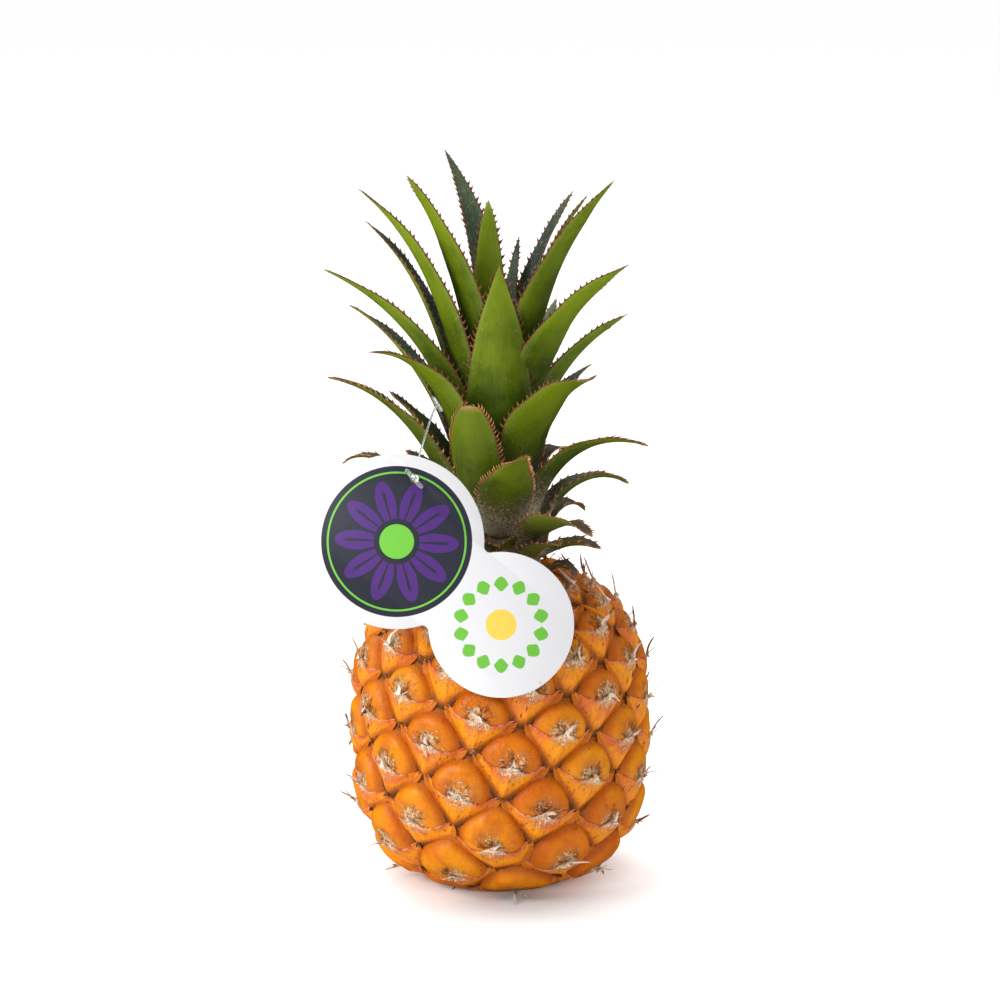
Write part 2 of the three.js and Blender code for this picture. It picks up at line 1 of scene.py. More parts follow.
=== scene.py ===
"""A small pineapple with its crown and a swing tag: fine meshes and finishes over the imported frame.

Sizes inside the classes are millimetres in the frame's axes: +Z up, the front of the fruit facing -Y, and
azimuths that start at the front and grow towards +X. Meshes, lights and the camera are placed in metres.
"""

import json
import logging
import math
import random
from dataclasses import dataclass, field
from enum import Enum

import bmesh
import bpy
import numpy as np
from mathutils import Color, Matrix, Vector
from mathutils.geometry import tessellate_polygon

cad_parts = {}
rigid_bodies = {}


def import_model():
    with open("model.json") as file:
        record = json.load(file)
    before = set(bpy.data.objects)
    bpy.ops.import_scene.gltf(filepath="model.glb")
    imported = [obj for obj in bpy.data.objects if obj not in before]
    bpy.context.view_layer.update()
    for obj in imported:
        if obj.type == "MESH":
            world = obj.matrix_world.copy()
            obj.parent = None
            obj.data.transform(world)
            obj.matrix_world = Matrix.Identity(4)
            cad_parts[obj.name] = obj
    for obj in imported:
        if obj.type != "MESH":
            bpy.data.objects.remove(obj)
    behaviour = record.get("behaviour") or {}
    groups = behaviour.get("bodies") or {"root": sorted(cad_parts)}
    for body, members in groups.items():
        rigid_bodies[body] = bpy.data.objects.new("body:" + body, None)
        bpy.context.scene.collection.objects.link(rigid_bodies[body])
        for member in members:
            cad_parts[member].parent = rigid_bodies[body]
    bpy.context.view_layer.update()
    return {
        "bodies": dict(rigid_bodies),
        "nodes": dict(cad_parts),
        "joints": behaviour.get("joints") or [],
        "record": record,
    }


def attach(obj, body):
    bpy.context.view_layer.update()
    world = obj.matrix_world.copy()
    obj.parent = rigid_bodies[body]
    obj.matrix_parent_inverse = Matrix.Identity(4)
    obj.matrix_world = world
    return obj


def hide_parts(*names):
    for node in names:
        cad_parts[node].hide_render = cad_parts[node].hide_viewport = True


LOG = logging.getLogger("pineapple")
MM = 0.001
GOLDEN_ANGLE = math.radians(137.508)
TIP_PLACE = -1.7  # where an eye's dry tip grows, in millimetres north of its centre

Array = np.ndarray
Numbers = np.ndarray | float
Span = tuple[float, float]
Place = tuple[float, float, float]
Paint = tuple[float, float, float, float]


# ---- Vectors ---------------------------------------------------------------------------------------
def smooth(x: Numbers) -> Numbers:
    """Smooth step from 0 to 1."""
    t = np.clip(x, 0.0, 1.0)
    return t * t * (3 - 2 * t)


def lerp(a: Numbers, b: Numbers, t: Numbers) -> Numbers:
    """The value a share t of the way from a to b."""
    return a + (b - a) * t


def ridge(x: Numbers, width: float) -> Numbers:
    """A soft ridge of height 1 along 0."""
    return np.exp(-((x / width) ** 2))


def unit(vectors: Array) -> Array:
    """Vectors scaled to length 1."""
    return vectors / np.linalg.norm(vectors, axis=-1, keepdims=True)


def round_angles(count: int) -> Array:
    """Angles evenly round a circle."""
    return 2 * np.pi * np.arange(count) / count


def summed(steps: Array) -> Array:
    """Running sums of steps, from 0."""
    return np.append(0, np.cumsum(steps))


def polar(radius: Numbers, azimuth: Numbers, height: Numbers) -> Array:
    """Points at a radius, an azimuth and a height.

    Args:
        radius: Distance from the upright axis.
        azimuth: Angle from the front towards +X, in radians.
        height: Height over the floor.

    Returns:
        The points, with x, y and z along the last axis.
    """
    x = radius * np.sin(azimuth)
    y = -radius * np.cos(azimuth)
    return np.stack(np.broadcast_arrays(x, y, height), -1)


def turned_about(vectors: Array, axis: Array, angle: Numbers) -> Array:
    """Vectors turned about an axis.

    Args:
        vectors: The vectors.
        axis: The axis, of length 1, or one for each vector.
        angle: The angle in radians, or one for each vector.

    Returns:
        The turned vectors.
    """
    angle = np.asarray(angle)[..., None]
    along = np.sum(vectors * axis, -1, keepdims=True) * axis
    return along + (vectors - along) * np.cos(angle) + np.cross(axis, vectors) * np.sin(angle)


def spline(points: Array, steps: int) -> Array:
    """A smooth path through points.

    Args:
        points: The points, one a row.
        steps: Steps from each point to the next.

    Returns:
        Points along the path.
    """
    path = np.concatenate([2 * points[:1] - points[1:2], points, 2 * points[-1:] - points[-2:-1]])
    t = (np.arange(steps) / steps)[:, None]
    made = []
    for a, b, c, d in zip(path, path[1:], path[2:], path[3:]):
        square, cube = 2 * a - 5 * b + 4 * c - d, 3 * b - a - 3 * c + d
        made.append(0.5 * (2 * b + (c - a) * t + square * t**2 + cube * t**3))
    return np.concatenate([*made, points[-1:]])


# ---- Meshes ----------------------------------------------------------------------------------------
@dataclass
class MeshParts:
    """Points, faces and per-point values gathered for one mesh."""

    points: list[Array] = field(default_factory=list)
    faces: list[Array] = field(default_factory=list)
    values: list[dict[str, Array]] = field(default_factory=list)
    count: int = 0

    def add(self, points: Array, faces: Array, **values: Numbers) -> None:
        """Adds points, faces that index them and one value a point for each name.

        Args:
            points: Points, one a row.
            faces: Corner numbers, one face a row; a repeated last corner marks a triangle.
            **values: Values named as the mesh's attributes.
        """
        self.points.append(points)
        self.faces.append(np.asarray(faces) + self.count)
        self.values.append({k: np.broadcast_to(v, len(points)) for k, v in values.items()})
        self.count += len(points)

    def grid(self, points: Array, closed: bool = False, **values: Numbers) -> None:
        """Adds a grid of points as a sheet, or as a tube if its rows close on themselves.

        Args:
            points: Points with shape rows, columns, 3.
            closed: Whether the last column joins the first.
            **values: Values with shape rows, columns.
        """
        rows, columns = points.shape[:2]
        flat = {k: np.broadcast_to(v, (rows, columns)).ravel() for k, v in values.items()}
        self.add(points.reshape(-1, 3), grid_faces(rows, columns, closed), **flat)

    def tube(self, path: Array, radius: Numbers, sides: int, **values: Numbers) -> None:
        """Adds a round rod along a path, closed at both ends.

        Args:
            path: Points along its middle.
            radius: Its radius, or one at each point.
            sides: Sides of its section.
            **values: Values with shape rows, columns.
        """
        ahead = unit(np.gradient(path, axis=0))
        aside = unit(np.cross(ahead, [0.31, 0.23, 0.92]))  # any direction that no rod follows
        other = np.cross(ahead, aside)
        angle = round_angles(sides)[:, None]
        ring = aside[:, None] * np.cos(angle) + other[:, None] * np.sin(angle)
        points = path[:, None] + ring * np.broadcast_to(radius, len(path))[:, None, None]
        points = np.concatenate([path[:1, None].repeat(sides, 1), points, path[-1:, None].repeat(sides, 1)])
        columns = {k: np.broadcast_to(v, (len(path), 1)) for k, v in values.items()}
        rows = {k: np.concatenate([v[:1], v, v[-1:]]) for k, v in columns.items()}
        self.grid(points, closed=True, **rows)

    def mesh(self, name: str, welded: bool = False) -> bpy.types.Mesh:
        """The gathered mesh, smooth and in metres.

        Args:
            name: Its name.
            welded: Whether points that lie together are joined.

        Returns:
            The mesh.
        """
        points = np.concatenate(self.points) * MM
        faces = [list(dict.fromkeys(f)) for block in self.faces for f in block.tolist()]
        mesh = bpy.data.meshes.new(name)
        mesh.from_pydata(points.tolist(), [], [f for f in faces if len(f) > 2])
        for key in self.values[0]:
            column = np.concatenate([v[key] for v in self.values]).astype(np.float32)
            mesh.attributes.new(key, "FLOAT", "POINT").data.foreach_set("value", column)
        mesh.validate()
        mesh.polygons.foreach_set("use_smooth", np.ones(len(mesh.polygons), bool))
        if welded:
            weld(mesh)
        return mesh


def grid_faces(rows: int, columns: int, closed: bool = False) -> Array:
    """Faces of a grid of points, counted row by row.

    Args:
        rows: Rows of points.
        columns: Points in a row.
        closed: Whether the last column joins the first.

    Returns:
        Corner numbers, one face a row.
    """
    wide = columns if closed else columns - 1
    r, c = np.meshgrid(np.arange(rows - 1), np.arange(wide), indexing="ij")
    a, b = r * columns + c, r * columns + (c + 1) % columns
    return np.stack([a, b, b + columns, a + columns], -1).reshape(-1, 4)


def weld(mesh: bpy.types.Mesh, distance: float = 1e-6) -> None:
    """Joins the points of a mesh that lie together.

    Args:
        mesh: The mesh.
        distance: How far apart they may lie, in metres.
    """
    work = bmesh.new()
    work.from_mesh(mesh)
    bmesh.ops.remove_doubles(work, verts=work.verts, dist=distance)
    work.to_mesh(mesh)
    work.free()


class Slot(Enum):
    """The record's material slots."""

    FRUIT = "fruit_skin"
    LEAF = "leaf"
    CARD = "tag_card"
    PIN = "tag_pin"


def make_piece(name: str, mesh: bpy.types.Mesh, slot: Slot, nodes: list[str],
               material: bpy.types.Material) -> None:
    """Links a mesh as a piece that rides on the part.

    Args:
        name: The piece's name.
        mesh: Its mesh, in metres.
        slot: The record's material slot; not used.
        nodes: The nodes that it replaces, if any.
        material: Its material.
    """
    piece = bpy.data.objects.new(name, mesh)
    bpy.context.scene.collection.objects.link(piece)
    mesh.materials.append(material)
    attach(piece, "root")
    if nodes:
        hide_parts(*nodes)
    LOG.info("%s: %d faces", name, len(mesh.polygons))


# ---- Shader maths ----------------------------------------------------------------------------------
def paint(red: int, green: int, blue: int) -> Paint:
    """A colour from its screen values of 0 to 255, as a shader takes it."""
    linear = Color((red / 255, green / 255, blue / 255)).from_srgb_to_scene_linear()
    return (*linear, 1.0)


class Op(Enum):
    """What a Math node does."""

    ADD = "ADD"
    SUBTRACT = "SUBTRACT"
    MULTIPLY = "MULTIPLY"
    DIVIDE = "DIVIDE"
    POWER = "POWER"
    ABSOLUTE = "ABSOLUTE"
    MAXIMUM = "MAXIMUM"
    COSINE = "COSINE"
    ARCTAN2 = "ARCTAN2"


class Value:
    """A socket of a shader, on which arithmetic adds nodes."""

    def __init__(self, shader: "Shader", socket: bpy.types.NodeSocket) -> None:
        """Wraps a socket of a shader's tree."""
        self.shader = shader
        self.socket = socket

    def maths(self, operation: Op, *others: "Value | float") -> "Value":
        """A Math node on this value and others."""
        return self.shader.maths(operation, self, *others)

    def __add__(self, other: "Value | float") -> "Value":
        """This value plus another."""
        return self.maths(Op.ADD, other)

    def __mul__(self, other: "Value | float") -> "Value":
        """This value times another."""
        return self.maths(Op.MULTIPLY, other)

    def __sub__(self, other: "Value | float") -> "Value":
        """This value less another."""
        return self.maths(Op.SUBTRACT, other)

    def __rsub__(self, other: float) -> "Value":
        """A number less this value."""
        return self.shader.maths(Op.SUBTRACT, other, self)

    def __truediv__(self, other: "Value | float") -> "Value":
        """This value over another."""
        return self.maths(Op.DIVIDE, other)

    def __pow__(self, other: "Value | float") -> "Value":
        """This value to a power."""
        return self.maths(Op.POWER, other)

    __radd__ = __add__
    __rmul__ = __mul__

    def size(self) -> "Value":
        """This value without its sign."""
        return self.maths(Op.ABSOLUTE)

    def rise(self, low: float, high: float) -> "Value":
        """0 under a low value and 1 over a high one, with a smooth step between."""
        inputs = {"Value": self, "From Min": low, "From Max": high}
        return self.shader.node("ShaderNodeMapRange", 0, {"interpolation_type": "SMOOTHSTEP"}, inputs)

    def fall(self, low: float, high: float) -> "Value":
        """1 under a low value and 0 over a high one."""
        return 1 - self.rise(low, high)


class Shader:
    """The node tree of one material, or of the world round the scene."""

    def __init__(self, name: str, world: bool = False) -> None:
        """Starts a material, or a world, with a plain surface.

        Args:
            name: Its name.
            world: Whether it is a world.
        """
        self.block = (bpy.data.worlds if world else bpy.data.materials).new(name)
        self.block.use_nodes = True
        self.tree = self.block.node_tree
        self.surface = self.tree.nodes["Background" if world else "Principled BSDF"]

    def node(self, kind: str, output: int | str = 0, settings: dict | None = None,
             inputs: dict | None = None) -> Value:
        """Adds a node.

        Args:
            kind: The node's type.
            output: The output to return.
            settings: The node's own settings, which are set first.
            inputs: Values or links of its sockets.

        Returns:
            The chosen output.
        """
        made = self.tree.nodes.new(kind)
        for key, value in (settings or {}).items():
            setattr(made, key, value)
        for key, value in (inputs or {}).items():
            self.feed(made.inputs[key], value)
        return Value(self, made.outputs[output])

    def feed(self, socket: bpy.types.NodeSocket, value: "Value | float | Paint") -> None:
        """Links or sets a socket.

        Args:
            socket: The socket.
            value: A value of the tree to link to it, or a number or colour to set.
        """
        if isinstance(value, Value):
            self.tree.links.new(value.socket, socket)
        else:
            socket.default_value = value

    def maths(self, operation: Op, *values: Value | float) -> Value:
        """A Math node on values."""
        return self.node("ShaderNodeMath", 0, {"operation": operation.value}, dict(enumerate(values)))

    def attributes(self, *names: str) -> list[Value]:
        """Values that the mesh holds."""
        return [self.node("ShaderNodeAttribute", "Fac", {"attribute_name": name}) for name in names]

    def vector(self, x: Value | float, y: Value | float, z: Value | float) -> Value:
        """A vector from three values."""
        return self.node("ShaderNodeCombineXYZ", 0, None, {0: x, 1: y, 2: z})

    def noise(self, scale: float, detail: float = 2.0, rough: float = 0.5, at: Value | None = None) -> Value:
        """Soft noise of 0 to 1.

        Args:
            scale: Its features to a metre, or to one unit of the given vector.
            detail: How many finer layers it has.
            rough: How strong the finer layers are.
            at: The vector that it follows, or the place on the part.

        Returns:
            The noise.
        """
        at = at or self.node("ShaderNodeTexCoord", "Object")
        inputs = {"Scale": scale, "Detail": detail, "Roughness": rough, "Vector": at}
        return self.node("ShaderNodeTexNoise", 0, None, inputs)

    def streaks(self, x: Value, y: Value, z: Value, detail: float = 3.0, rough: float = 0.6) -> Value:
        """Soft noise that follows three values, drawn out where one of them changes slowly."""
        return self.noise(1.0, detail, rough, self.vector(x, y, z))

    def mix(self, share: Value | float, first: Value | Paint, second: Value | Paint) -> Value:
        """The colour a share of the way from one colour to another."""
        return self.node("ShaderNodeMix", 2, {"data_type": "RGBA"}, {0: share, 6: first, 7: second})

    def coated(self, colour: Value | Paint, *coats: tuple[Value, Value | Paint]) -> Value:
        """Lays coats of colour over another.

        Args:
            colour: The lowest colour.
            *coats: Masks of what each coat covers, and its colour, from the lowest up.

        Returns:
            The colour that is seen.
        """
        for mask, coat in coats:
            colour = self.mix(mask, colour, coat)
        return colour

    def bump(self, height: Value, depth: float) -> Value:
        """A normal for a relief of 0 to 1 that is this many millimetres deep."""
        inputs = {"Height": height, "Distance": depth * MM, "Strength": 1.0}
        return self.node("ShaderNodeBump", 0, None, inputs)

    def finish(self, colour: Value | Paint, rough: Value | float, normal: Value | None = None,
               **others: Value | float | Paint) -> bpy.types.Material:
        """Dresses the surface.

        Args:
            colour: Base colour.
            rough: Roughness.
            normal: Normal from a bump, if any.
            **others: Other sockets by name, with underscores for spaces.

        Returns:
            The material.
        """
        self.feed(self.surface.inputs["Base Color"], colour)
        self.feed(self.surface.inputs["Roughness"], rough)
        if normal:
            self.feed(self.surface.inputs["Normal"], normal)
        for key, value in others.items():
            self.feed(self.surface.inputs[key.replace("_", " ")], value)
        return self.block


# ---- Fruit -----------------------------------------------------------------------------------------
@dataclass(frozen=True)
class Barrel:
    """The smooth fruit under its eyes, and the conformal map of its skin to a sphere."""

    radius: float = 42.0
    height: float = 93.0
    widest: float = 45.0
    foot_reach: float = 49.0  # from the widest height down to where the barrel would close
    foot_squareness: float = 3.3
    shoulder_squareness: float = 3.05
    eye_area: float = 282.0
    area_loss_up: float = 0.81
    area_gain_down: float = 0.79
    foot_fade: float = 6.0  # the relief of the eyes fades below this height
    lowest_point: float = 0.3
    steps: int = 1200

    def radius_at(self, z: Array) -> Array:
        """Radius of the smooth fruit at heights.

        Args:
            z: The heights.

        Returns:
            A radius for each.
        """
        below = z < self.widest
        reach = np.where(below, self.foot_reach, self.height - self.widest)
        power = np.where(below, self.foot_squareness, self.shoulder_squareness)
        return self.radius * np.sqrt(np.maximum(0, 1 - (np.abs(z - self.widest) / reach) ** power))

    def area_at(self, z: Array) -> Array:
        """Skin area of an eye at heights."""
        h = (z - self.widest) / self.foot_reach
        return self.eye_area * np.where(h > 0, 1 - self.area_loss_up * h * h, 1 + self.area_gain_down * h * h)

    def walked(self) -> dict[str, Array]:
        """Walks the profile from pole to pole.

        Returns:
            Columns of height, radius, eyes so far, latitude on the sphere and slope.
        """
        turn = np.pi * np.arange(1, self.steps) / self.steps
        z = lerp(self.widest - self.foot_reach, self.height, (1 - np.cos(turn)) / 2)
        radius = self.radius_at(z)
        length = np.hypot(np.diff(z), np.diff(radius))
        middle = (radius[1:] + radius[:-1]) / 2
        count = summed(2 * np.pi * middle * length / self.area_at(z[1:]))
        mercator = summed(length / middle)
        mercator -= np.interp(self.widest, z, mercator)
        latitude = 2 * np.arctan(np.exp(mercator)) - np.pi / 2
        slope = np.arctan2(-np.gradient(radius), np.gradient(z))
        return {"z": z, "radius": radius, "count": count, "latitude": latitude, "slope": slope}


class Skin:
    """Places on the fruit's skin for directions on the sphere that it maps to."""

    def __init__(self, barrel: Barrel) -> None:
        """Walks the barrel's profile once."""
        self.barrel = barrel
        self.rows = barrel.walked()

    def along(self, key: str, value: Numbers, wanted: str) -> Array:
        """One column of the profile where another reaches a value."""
        return np.interp(value, self.rows[key], self.rows[wanted])

    def points(self, units: Array, lift: Numbers) -> Array:
        """Points of the skin, lifted along its normal.

        Args:
            units: Directions of length 1 on the sphere.
            lift: Height over the smooth fruit.

        Returns:
            One point for each direction.
        """
        latitude = np.arcsin(np.clip(units[..., 2], -1, 1))
        z, radius, slope = (self.along("latitude", latitude, key) for key in ("z", "radius", "slope"))
        azimuth = np.arctan2(units[..., 0], -units[..., 1])
        raised = lift * smooth(z / self.barrel.foot_fade)
        made = polar(radius + raised * np.cos(slope), azimuth, z + raised * np.sin(slope))
        made[..., 2] = np.maximum(made[..., 2], self.barrel.lowest_point)
        return made

    def normal(self, units: Array) -> Array:
        """Outward directions of the smooth skin.

        Args:
            units: Directions of length 1 on the sphere.

        Returns:
            One direction for each.
        """
        latitude = np.arcsin(np.clip(units[..., 2], -1, 1))
        slope = self.along("latitude", latitude, "slope")
        return polar(np.cos(slope), np.arctan2(units[..., 0], -units[..., 1]), np.sin(slope))

    def scale(self, units: Array) -> Array:
        """Millimetres of skin for a radian on the sphere."""
        latitude = np.arcsin(np.clip(units[..., 2], -1, 1))
        return self.along("latitude", latitude, "radius") / np.maximum(np.cos(latitude), 1e-6)


def compass(centre: Array) -> tuple[Array, Array]:
    """East and north on the sphere at a direction.

    Args:
        centre: The direction, of length 1.

    Returns:
        The two directions; a hair's tilt of the pole keeps them sound at the poles.
    """
    east = unit(np.cross([1e-9, 0.0, 1.0], centre))
    return east, np.cross(centre, east)


@dataclass
class Eye:
    """One fruitlet: its cell of the skin between those of its neighbours."""

    centre: Array
    corners: Array
    scale: float
    seed: float
    chance: random.Random

    def __post_init__(self) -> None:
        """Finds the cell's own axes and the planes of its edges."""
        self.east, self.north = compass(self.centre)
        self.edges = unit(np.cross(self.corners, np.roll(self.corners, -1, 0)))
        self.pole = abs(self.centre[2]) > 0.9999

    def local(self, units: Array) -> tuple[Array, Array]:
        """Millimetres east and north of the cell's centre."""
        return (units @ self.east) * self.scale, (units @ self.north) * self.scale

    def direction(self, x: Numbers, y: Numbers) -> Array:
        """Directions for places in millimetres east and north of the centre."""
        x, y = np.asarray(x)[..., None] / self.scale, np.asarray(y)[..., None] / self.scale
        return unit(self.centre + x * self.east + y * self.north)

    def edge_distance(self, units: Array, softness: float) -> Array:
        """Millimetres to the cell's edge, rounded off near its corners."""
        distances = (units @ self.edges.T) * self.scale
        return -softness * np.log(np.sum(np.exp(-np.clip(distances, -20, 60) / softness), -1))

    def corner_distance(self, units: Array) -> Array:
        """Millimetres to the nearest corner of the cell."""
        return np.min(np.linalg.norm(units[..., None, :] - self.corners, axis=-1), -1) * self.scale

    def border(self, skin: Skin, step: float) -> Array:
        """Directions round the cell's edge.

        Args:
            skin: The fruit's skin.
            step: Millimetres from one to the next, about.

        Returns:
            The directions, counter-clockwise from outside.
        """
        following = np.roll(self.corners, -1, 0)
        lengths = np.linalg.norm(skin.points(self.corners, 0) - skin.points(following, 0), axis=-1)
        pieces = []
        for a, b, length in zip(self.corners, following, lengths):
            count = max(2, round(float(length) / step))
            pieces.append(unit(lerp(a, b, (np.arange(count) / count)[:, None])))
        return np.concatenate(pieces)


@dataclass
class Bract:
    """The outline of the bract that covers the lower part of an eye."""

    eye: Eye
    columns: int = 20
    sag: float = 1.9  # how far the free margin hangs between the tip and a corner
    raggedness: float = 0.13
    ragged_waves: tuple[int, ...] = (9, 17, 31)

    def __post_init__(self) -> None:
        """Draws the free margin and the cell's edge below it, both from west to east."""
        x, _ = self.eye.local(self.eye.corners)
        west, east = int(np.argmin(x)), int(np.argmax(x))
        sides = [self.side(corner) for corner in (west, east)]
        self.margin = np.concatenate([sides[0], sides[1][::-1][1:]])
        self.below = self.lower_edge(west, east)
        self.share = np.linspace(-1, 1, 2 * self.columns + 1)

    def side(self, corner: int) -> Array:
        """Half of the free margin.

        Args:
            corner: The number of the cell's corner where it starts.

        Returns:
            Directions from that corner up to the dry tip.
        """
        eye, share = self.eye, np.linspace(0, 1, self.columns + 1)
        x, y = eye.local(unit(lerp(eye.corners[corner], eye.direction(0.0, TIP_PLACE), share[:, None])))
        ragged = sum(eye.chance.uniform(-1, 1) * np.sin(share * w + 5 * eye.seed) for w in self.ragged_waves)
        sag = self.sag * np.sin(np.pi * share**1.25) + self.raggedness * ragged * np.sin(np.pi * share)
        return eye.direction(x, y - sag)

    def lower_edge(self, west: int, east: int) -> Array:
        """The cell's edge round the bract's foot.

        Args:
            west: The number of the cell's west corner.
            east: The number of its east corner.

        Returns:
            Directions from the west corner, round the bottom, to the east corner.
        """
        path = [west]
        while path[-1] != east:
            path.append((path[-1] + 1) % len(self.eye.corners))
        corners = self.eye.corners[path]
        _, y = self.eye.local(corners)
        bottom = int(np.argmin(y))
        halves = []
        for part in (corners[: bottom + 1], corners[bottom:]):
            length = summed(np.linalg.norm(np.diff(part, axis=0), axis=1))
            share = np.linspace(0, length[-1], self.columns + 1)
            halves.append(np.stack([np.interp(share, length, part[:, axis]) for axis in range(3)], -1))
        return unit(np.concatenate([halves[0], halves[1][1:]]))

    def depth(self, units: Array) -> Array:
        """Millimetres below the margin, or less than 0 above it.

        Args:
            units: Directions on the sphere.

        Returns:
            A depth for each.
        """
        x, y = self.eye.local(units)
        margin_x, margin_y = self.eye.local(self.margin)
        return np.interp(x, np.maximum.accumulate(margin_x), margin_y) - y


@dataclass
class Fruit:
    """The fruit: shiny domes parted by grooves, fleshy bracts over their lower halves, and dry tips."""

    barrel: Barrel = field(default_factory=Barrel)
    first_azimuth: float = 264.3
    drop: float = 1.7  # the cells are centred this many eyes below the dry tips
    lowest: float = -1.0
    highest: float = 90.5
    # The domes.
    groove: float = 2.0
    dome: float = 1.4
    shoulder: float = 4.2  # how far in from its edge a dome swells
    roundness: float = 2.7
    swell_edge: float = 2.4  # powers that shape the swell at the groove and on top
    swell_top: float = 0.6
    droop: float = 0.5  # how much lower the foot of a dome stands
    droop_start: float = 1.5
    droop_reach: float = 6.0
    hollow: float = 0.55  # the dip round the root of the dry tip
    hollow_north: float = -0.4
    hollow_spread: float = 5.5
    # Height, waves east, waves north, and how far the eye's seed turns them.
    ripples: tuple[tuple[float, ...], ...] = ((0.12, 0.55, 0.0, 9.0), (0.1, 0.3, 0.7, 17.0))
    bed: float = 0.35  # how far the skin under a bract lies below the groove
    bed_start: float = 0.25
    bed_reach: float = 1.1
    edge_step: float = 0.95
    rings: int = 14
    ring_crowding: float = 1.35  # how far the rings gather at the edge
    # The bracts.
    bract_rows: int = 12
    foot_lift: float = 0.6
    tuck: float = 0.15  # the hidden row under the domes below, as a share of the height
    spread: float = 2.2  # how far that row runs on
    margin_step: float = 0.45
    beak: float = 0.5  # how far the margin's middle stands up under the dry tip
    beak_width: float = 0.09  # widths across a bract are shares of half its own
    keel: float = 0.55
    keel_width: float = 0.06
    fold: Span = (0.08, 0.24)
    fold_place: Span = (0.12, 0.5)
    fold_width: float = 0.035
    bulge: float = 0.3
    bulge_width: float = 0.45
    flank_dip: float = 0.4
    lip: float = 0.3
    lip_reach: float = 0.25
    lip_back: float = 0.1
    lip_drop: float = 0.4
    fray: Span = (-0.25, 0.4)

    def __post_init__(self) -> None:
        """Lays out the eyes and their bracts."""
        self.skin = Skin(self.barrel)
        self.eyes = self.laid_eyes()
        self.bracts = [Bract(eye) for eye in self.eyes if not eye.pole]

    def build(self) -> None:
        """Builds and dresses the fruit's skin, bracts and tips over its node."""
        make_piece("fruit_domes", self.domes(), Slot.FRUIT, ["fruit"], DomeFinish().material())
        make_piece("fruit_bracts", self.bract_sheets(), Slot.FRUIT, [], BractFinish().material())
        make_piece("fruit_tips", DryTips(self).mesh(), Slot.FRUIT, [], TipFinish().material())

    def laid_eyes(self) -> list[Eye]:
        """Lays the eyes on their spiral.

        Returns:
            The eyes, each with its cell, and last the two cells at the poles.
        """
        total = self.skin.rows["count"][-1]
        units = []
        for i in range(int(total) + 2):
            count = i + 1 - self.drop
            if not 0.5 < count < total - 1:
                continue
            latitude = float(self.skin.along("count", count, "latitude"))
            height = float(self.skin.along("count", count, "z"))
            if self.lowest < height < self.highest:
                azimuth = math.radians(self.first_azimuth) + GOLDEN_ANGLE * i
                units.append(polar(math.cos(latitude), azimuth, math.sin(latitude)))
        units += [np.array([0.0, 0.0, -1.0]), np.array([0.0, 0.0, 1.0])]
        eyes = []
        for number, (centre, corners) in enumerate(zip(units, self.cells(np.array(units)))):
            chance = random.Random(number)
            scale = float(self.skin.scale(centre))
            eyes.append(Eye(centre, corners, scale, chance.random(), chance))
        return eyes

    @staticmethod
    def cells(units: Array) -> list[Array]:
        """Parts the sphere into the places nearest to each direction.

        Args:
            units: Directions of length 1.

        Returns:
            For each of them the corners of its cell, counter-clockwise from outside.
        """
        hull = bmesh.new()
        verts = [hull.verts.new(u) for u in units]
        hull.verts.index_update()
        bmesh.ops.convex_hull(hull, input=verts)
        hull.faces.ensure_lookup_table()
        cells = []
        for vert, centre in zip(verts, units):
            normals = []
            for face in vert.link_faces:
                a, b, c = (np.array(v.co) for v in face.verts)
                normal = unit(np.cross(b - a, c - a))
                normals.append(normal if normal @ centre > 0 else -normal)
            east, north = compass(centre)
            normals.sort(key=lambda n: math.atan2(n @ north, n @ east))
            cells.append(np.array(normals))
        hull.free()
        return cells

    def dome_lift(self, eye: Eye, units: Array) -> Array:
        """Height of a dome over the smooth fruit.

        Args:
            eye: The dome's eye.
            units: Directions on the sphere.

        Returns:
            A height for each.
        """
        if eye.pole:
            return np.full(units.shape[:-1], -self.groove)
        x, y = eye.local(units)
        inside = np.clip(eye.edge_distance(units, self.roundness) / self.shoulder, 0, 1)
        swell = (1 - (1 - inside) ** self.swell_edge) ** self.swell_top
        crown = self.dome - self.droop * smooth((self.droop_start - y) / self.droop_reach)
        for height, east, north, turn in self.ripples:
            crown = crown + height * np.sin(north * y + east * x + turn * eye.seed)
        hollow = self.hollow * np.exp(-(x * x + (y - self.hollow_north) ** 2) / self.hollow_spread)
        return -self.groove + (self.groove + crown - hollow) * swell

    def bed_lift(self, eye: Eye, bract: Bract | None, units: Array) -> Array:
        """Height of the skin: a dome, and a low bed under its bract.

        Args:
            eye: The dome's eye.
            bract: Its bract, if any.
            units: Directions on the sphere.

        Returns:
            A height for each.
        """
        dome = self.dome_lift(eye, units)
        if bract is None:
            return dome
        under = smooth((bract.depth(units) - self.bed_start) / self.bed_reach)
        return lerp(dome, -self.groove - self.bed, under)

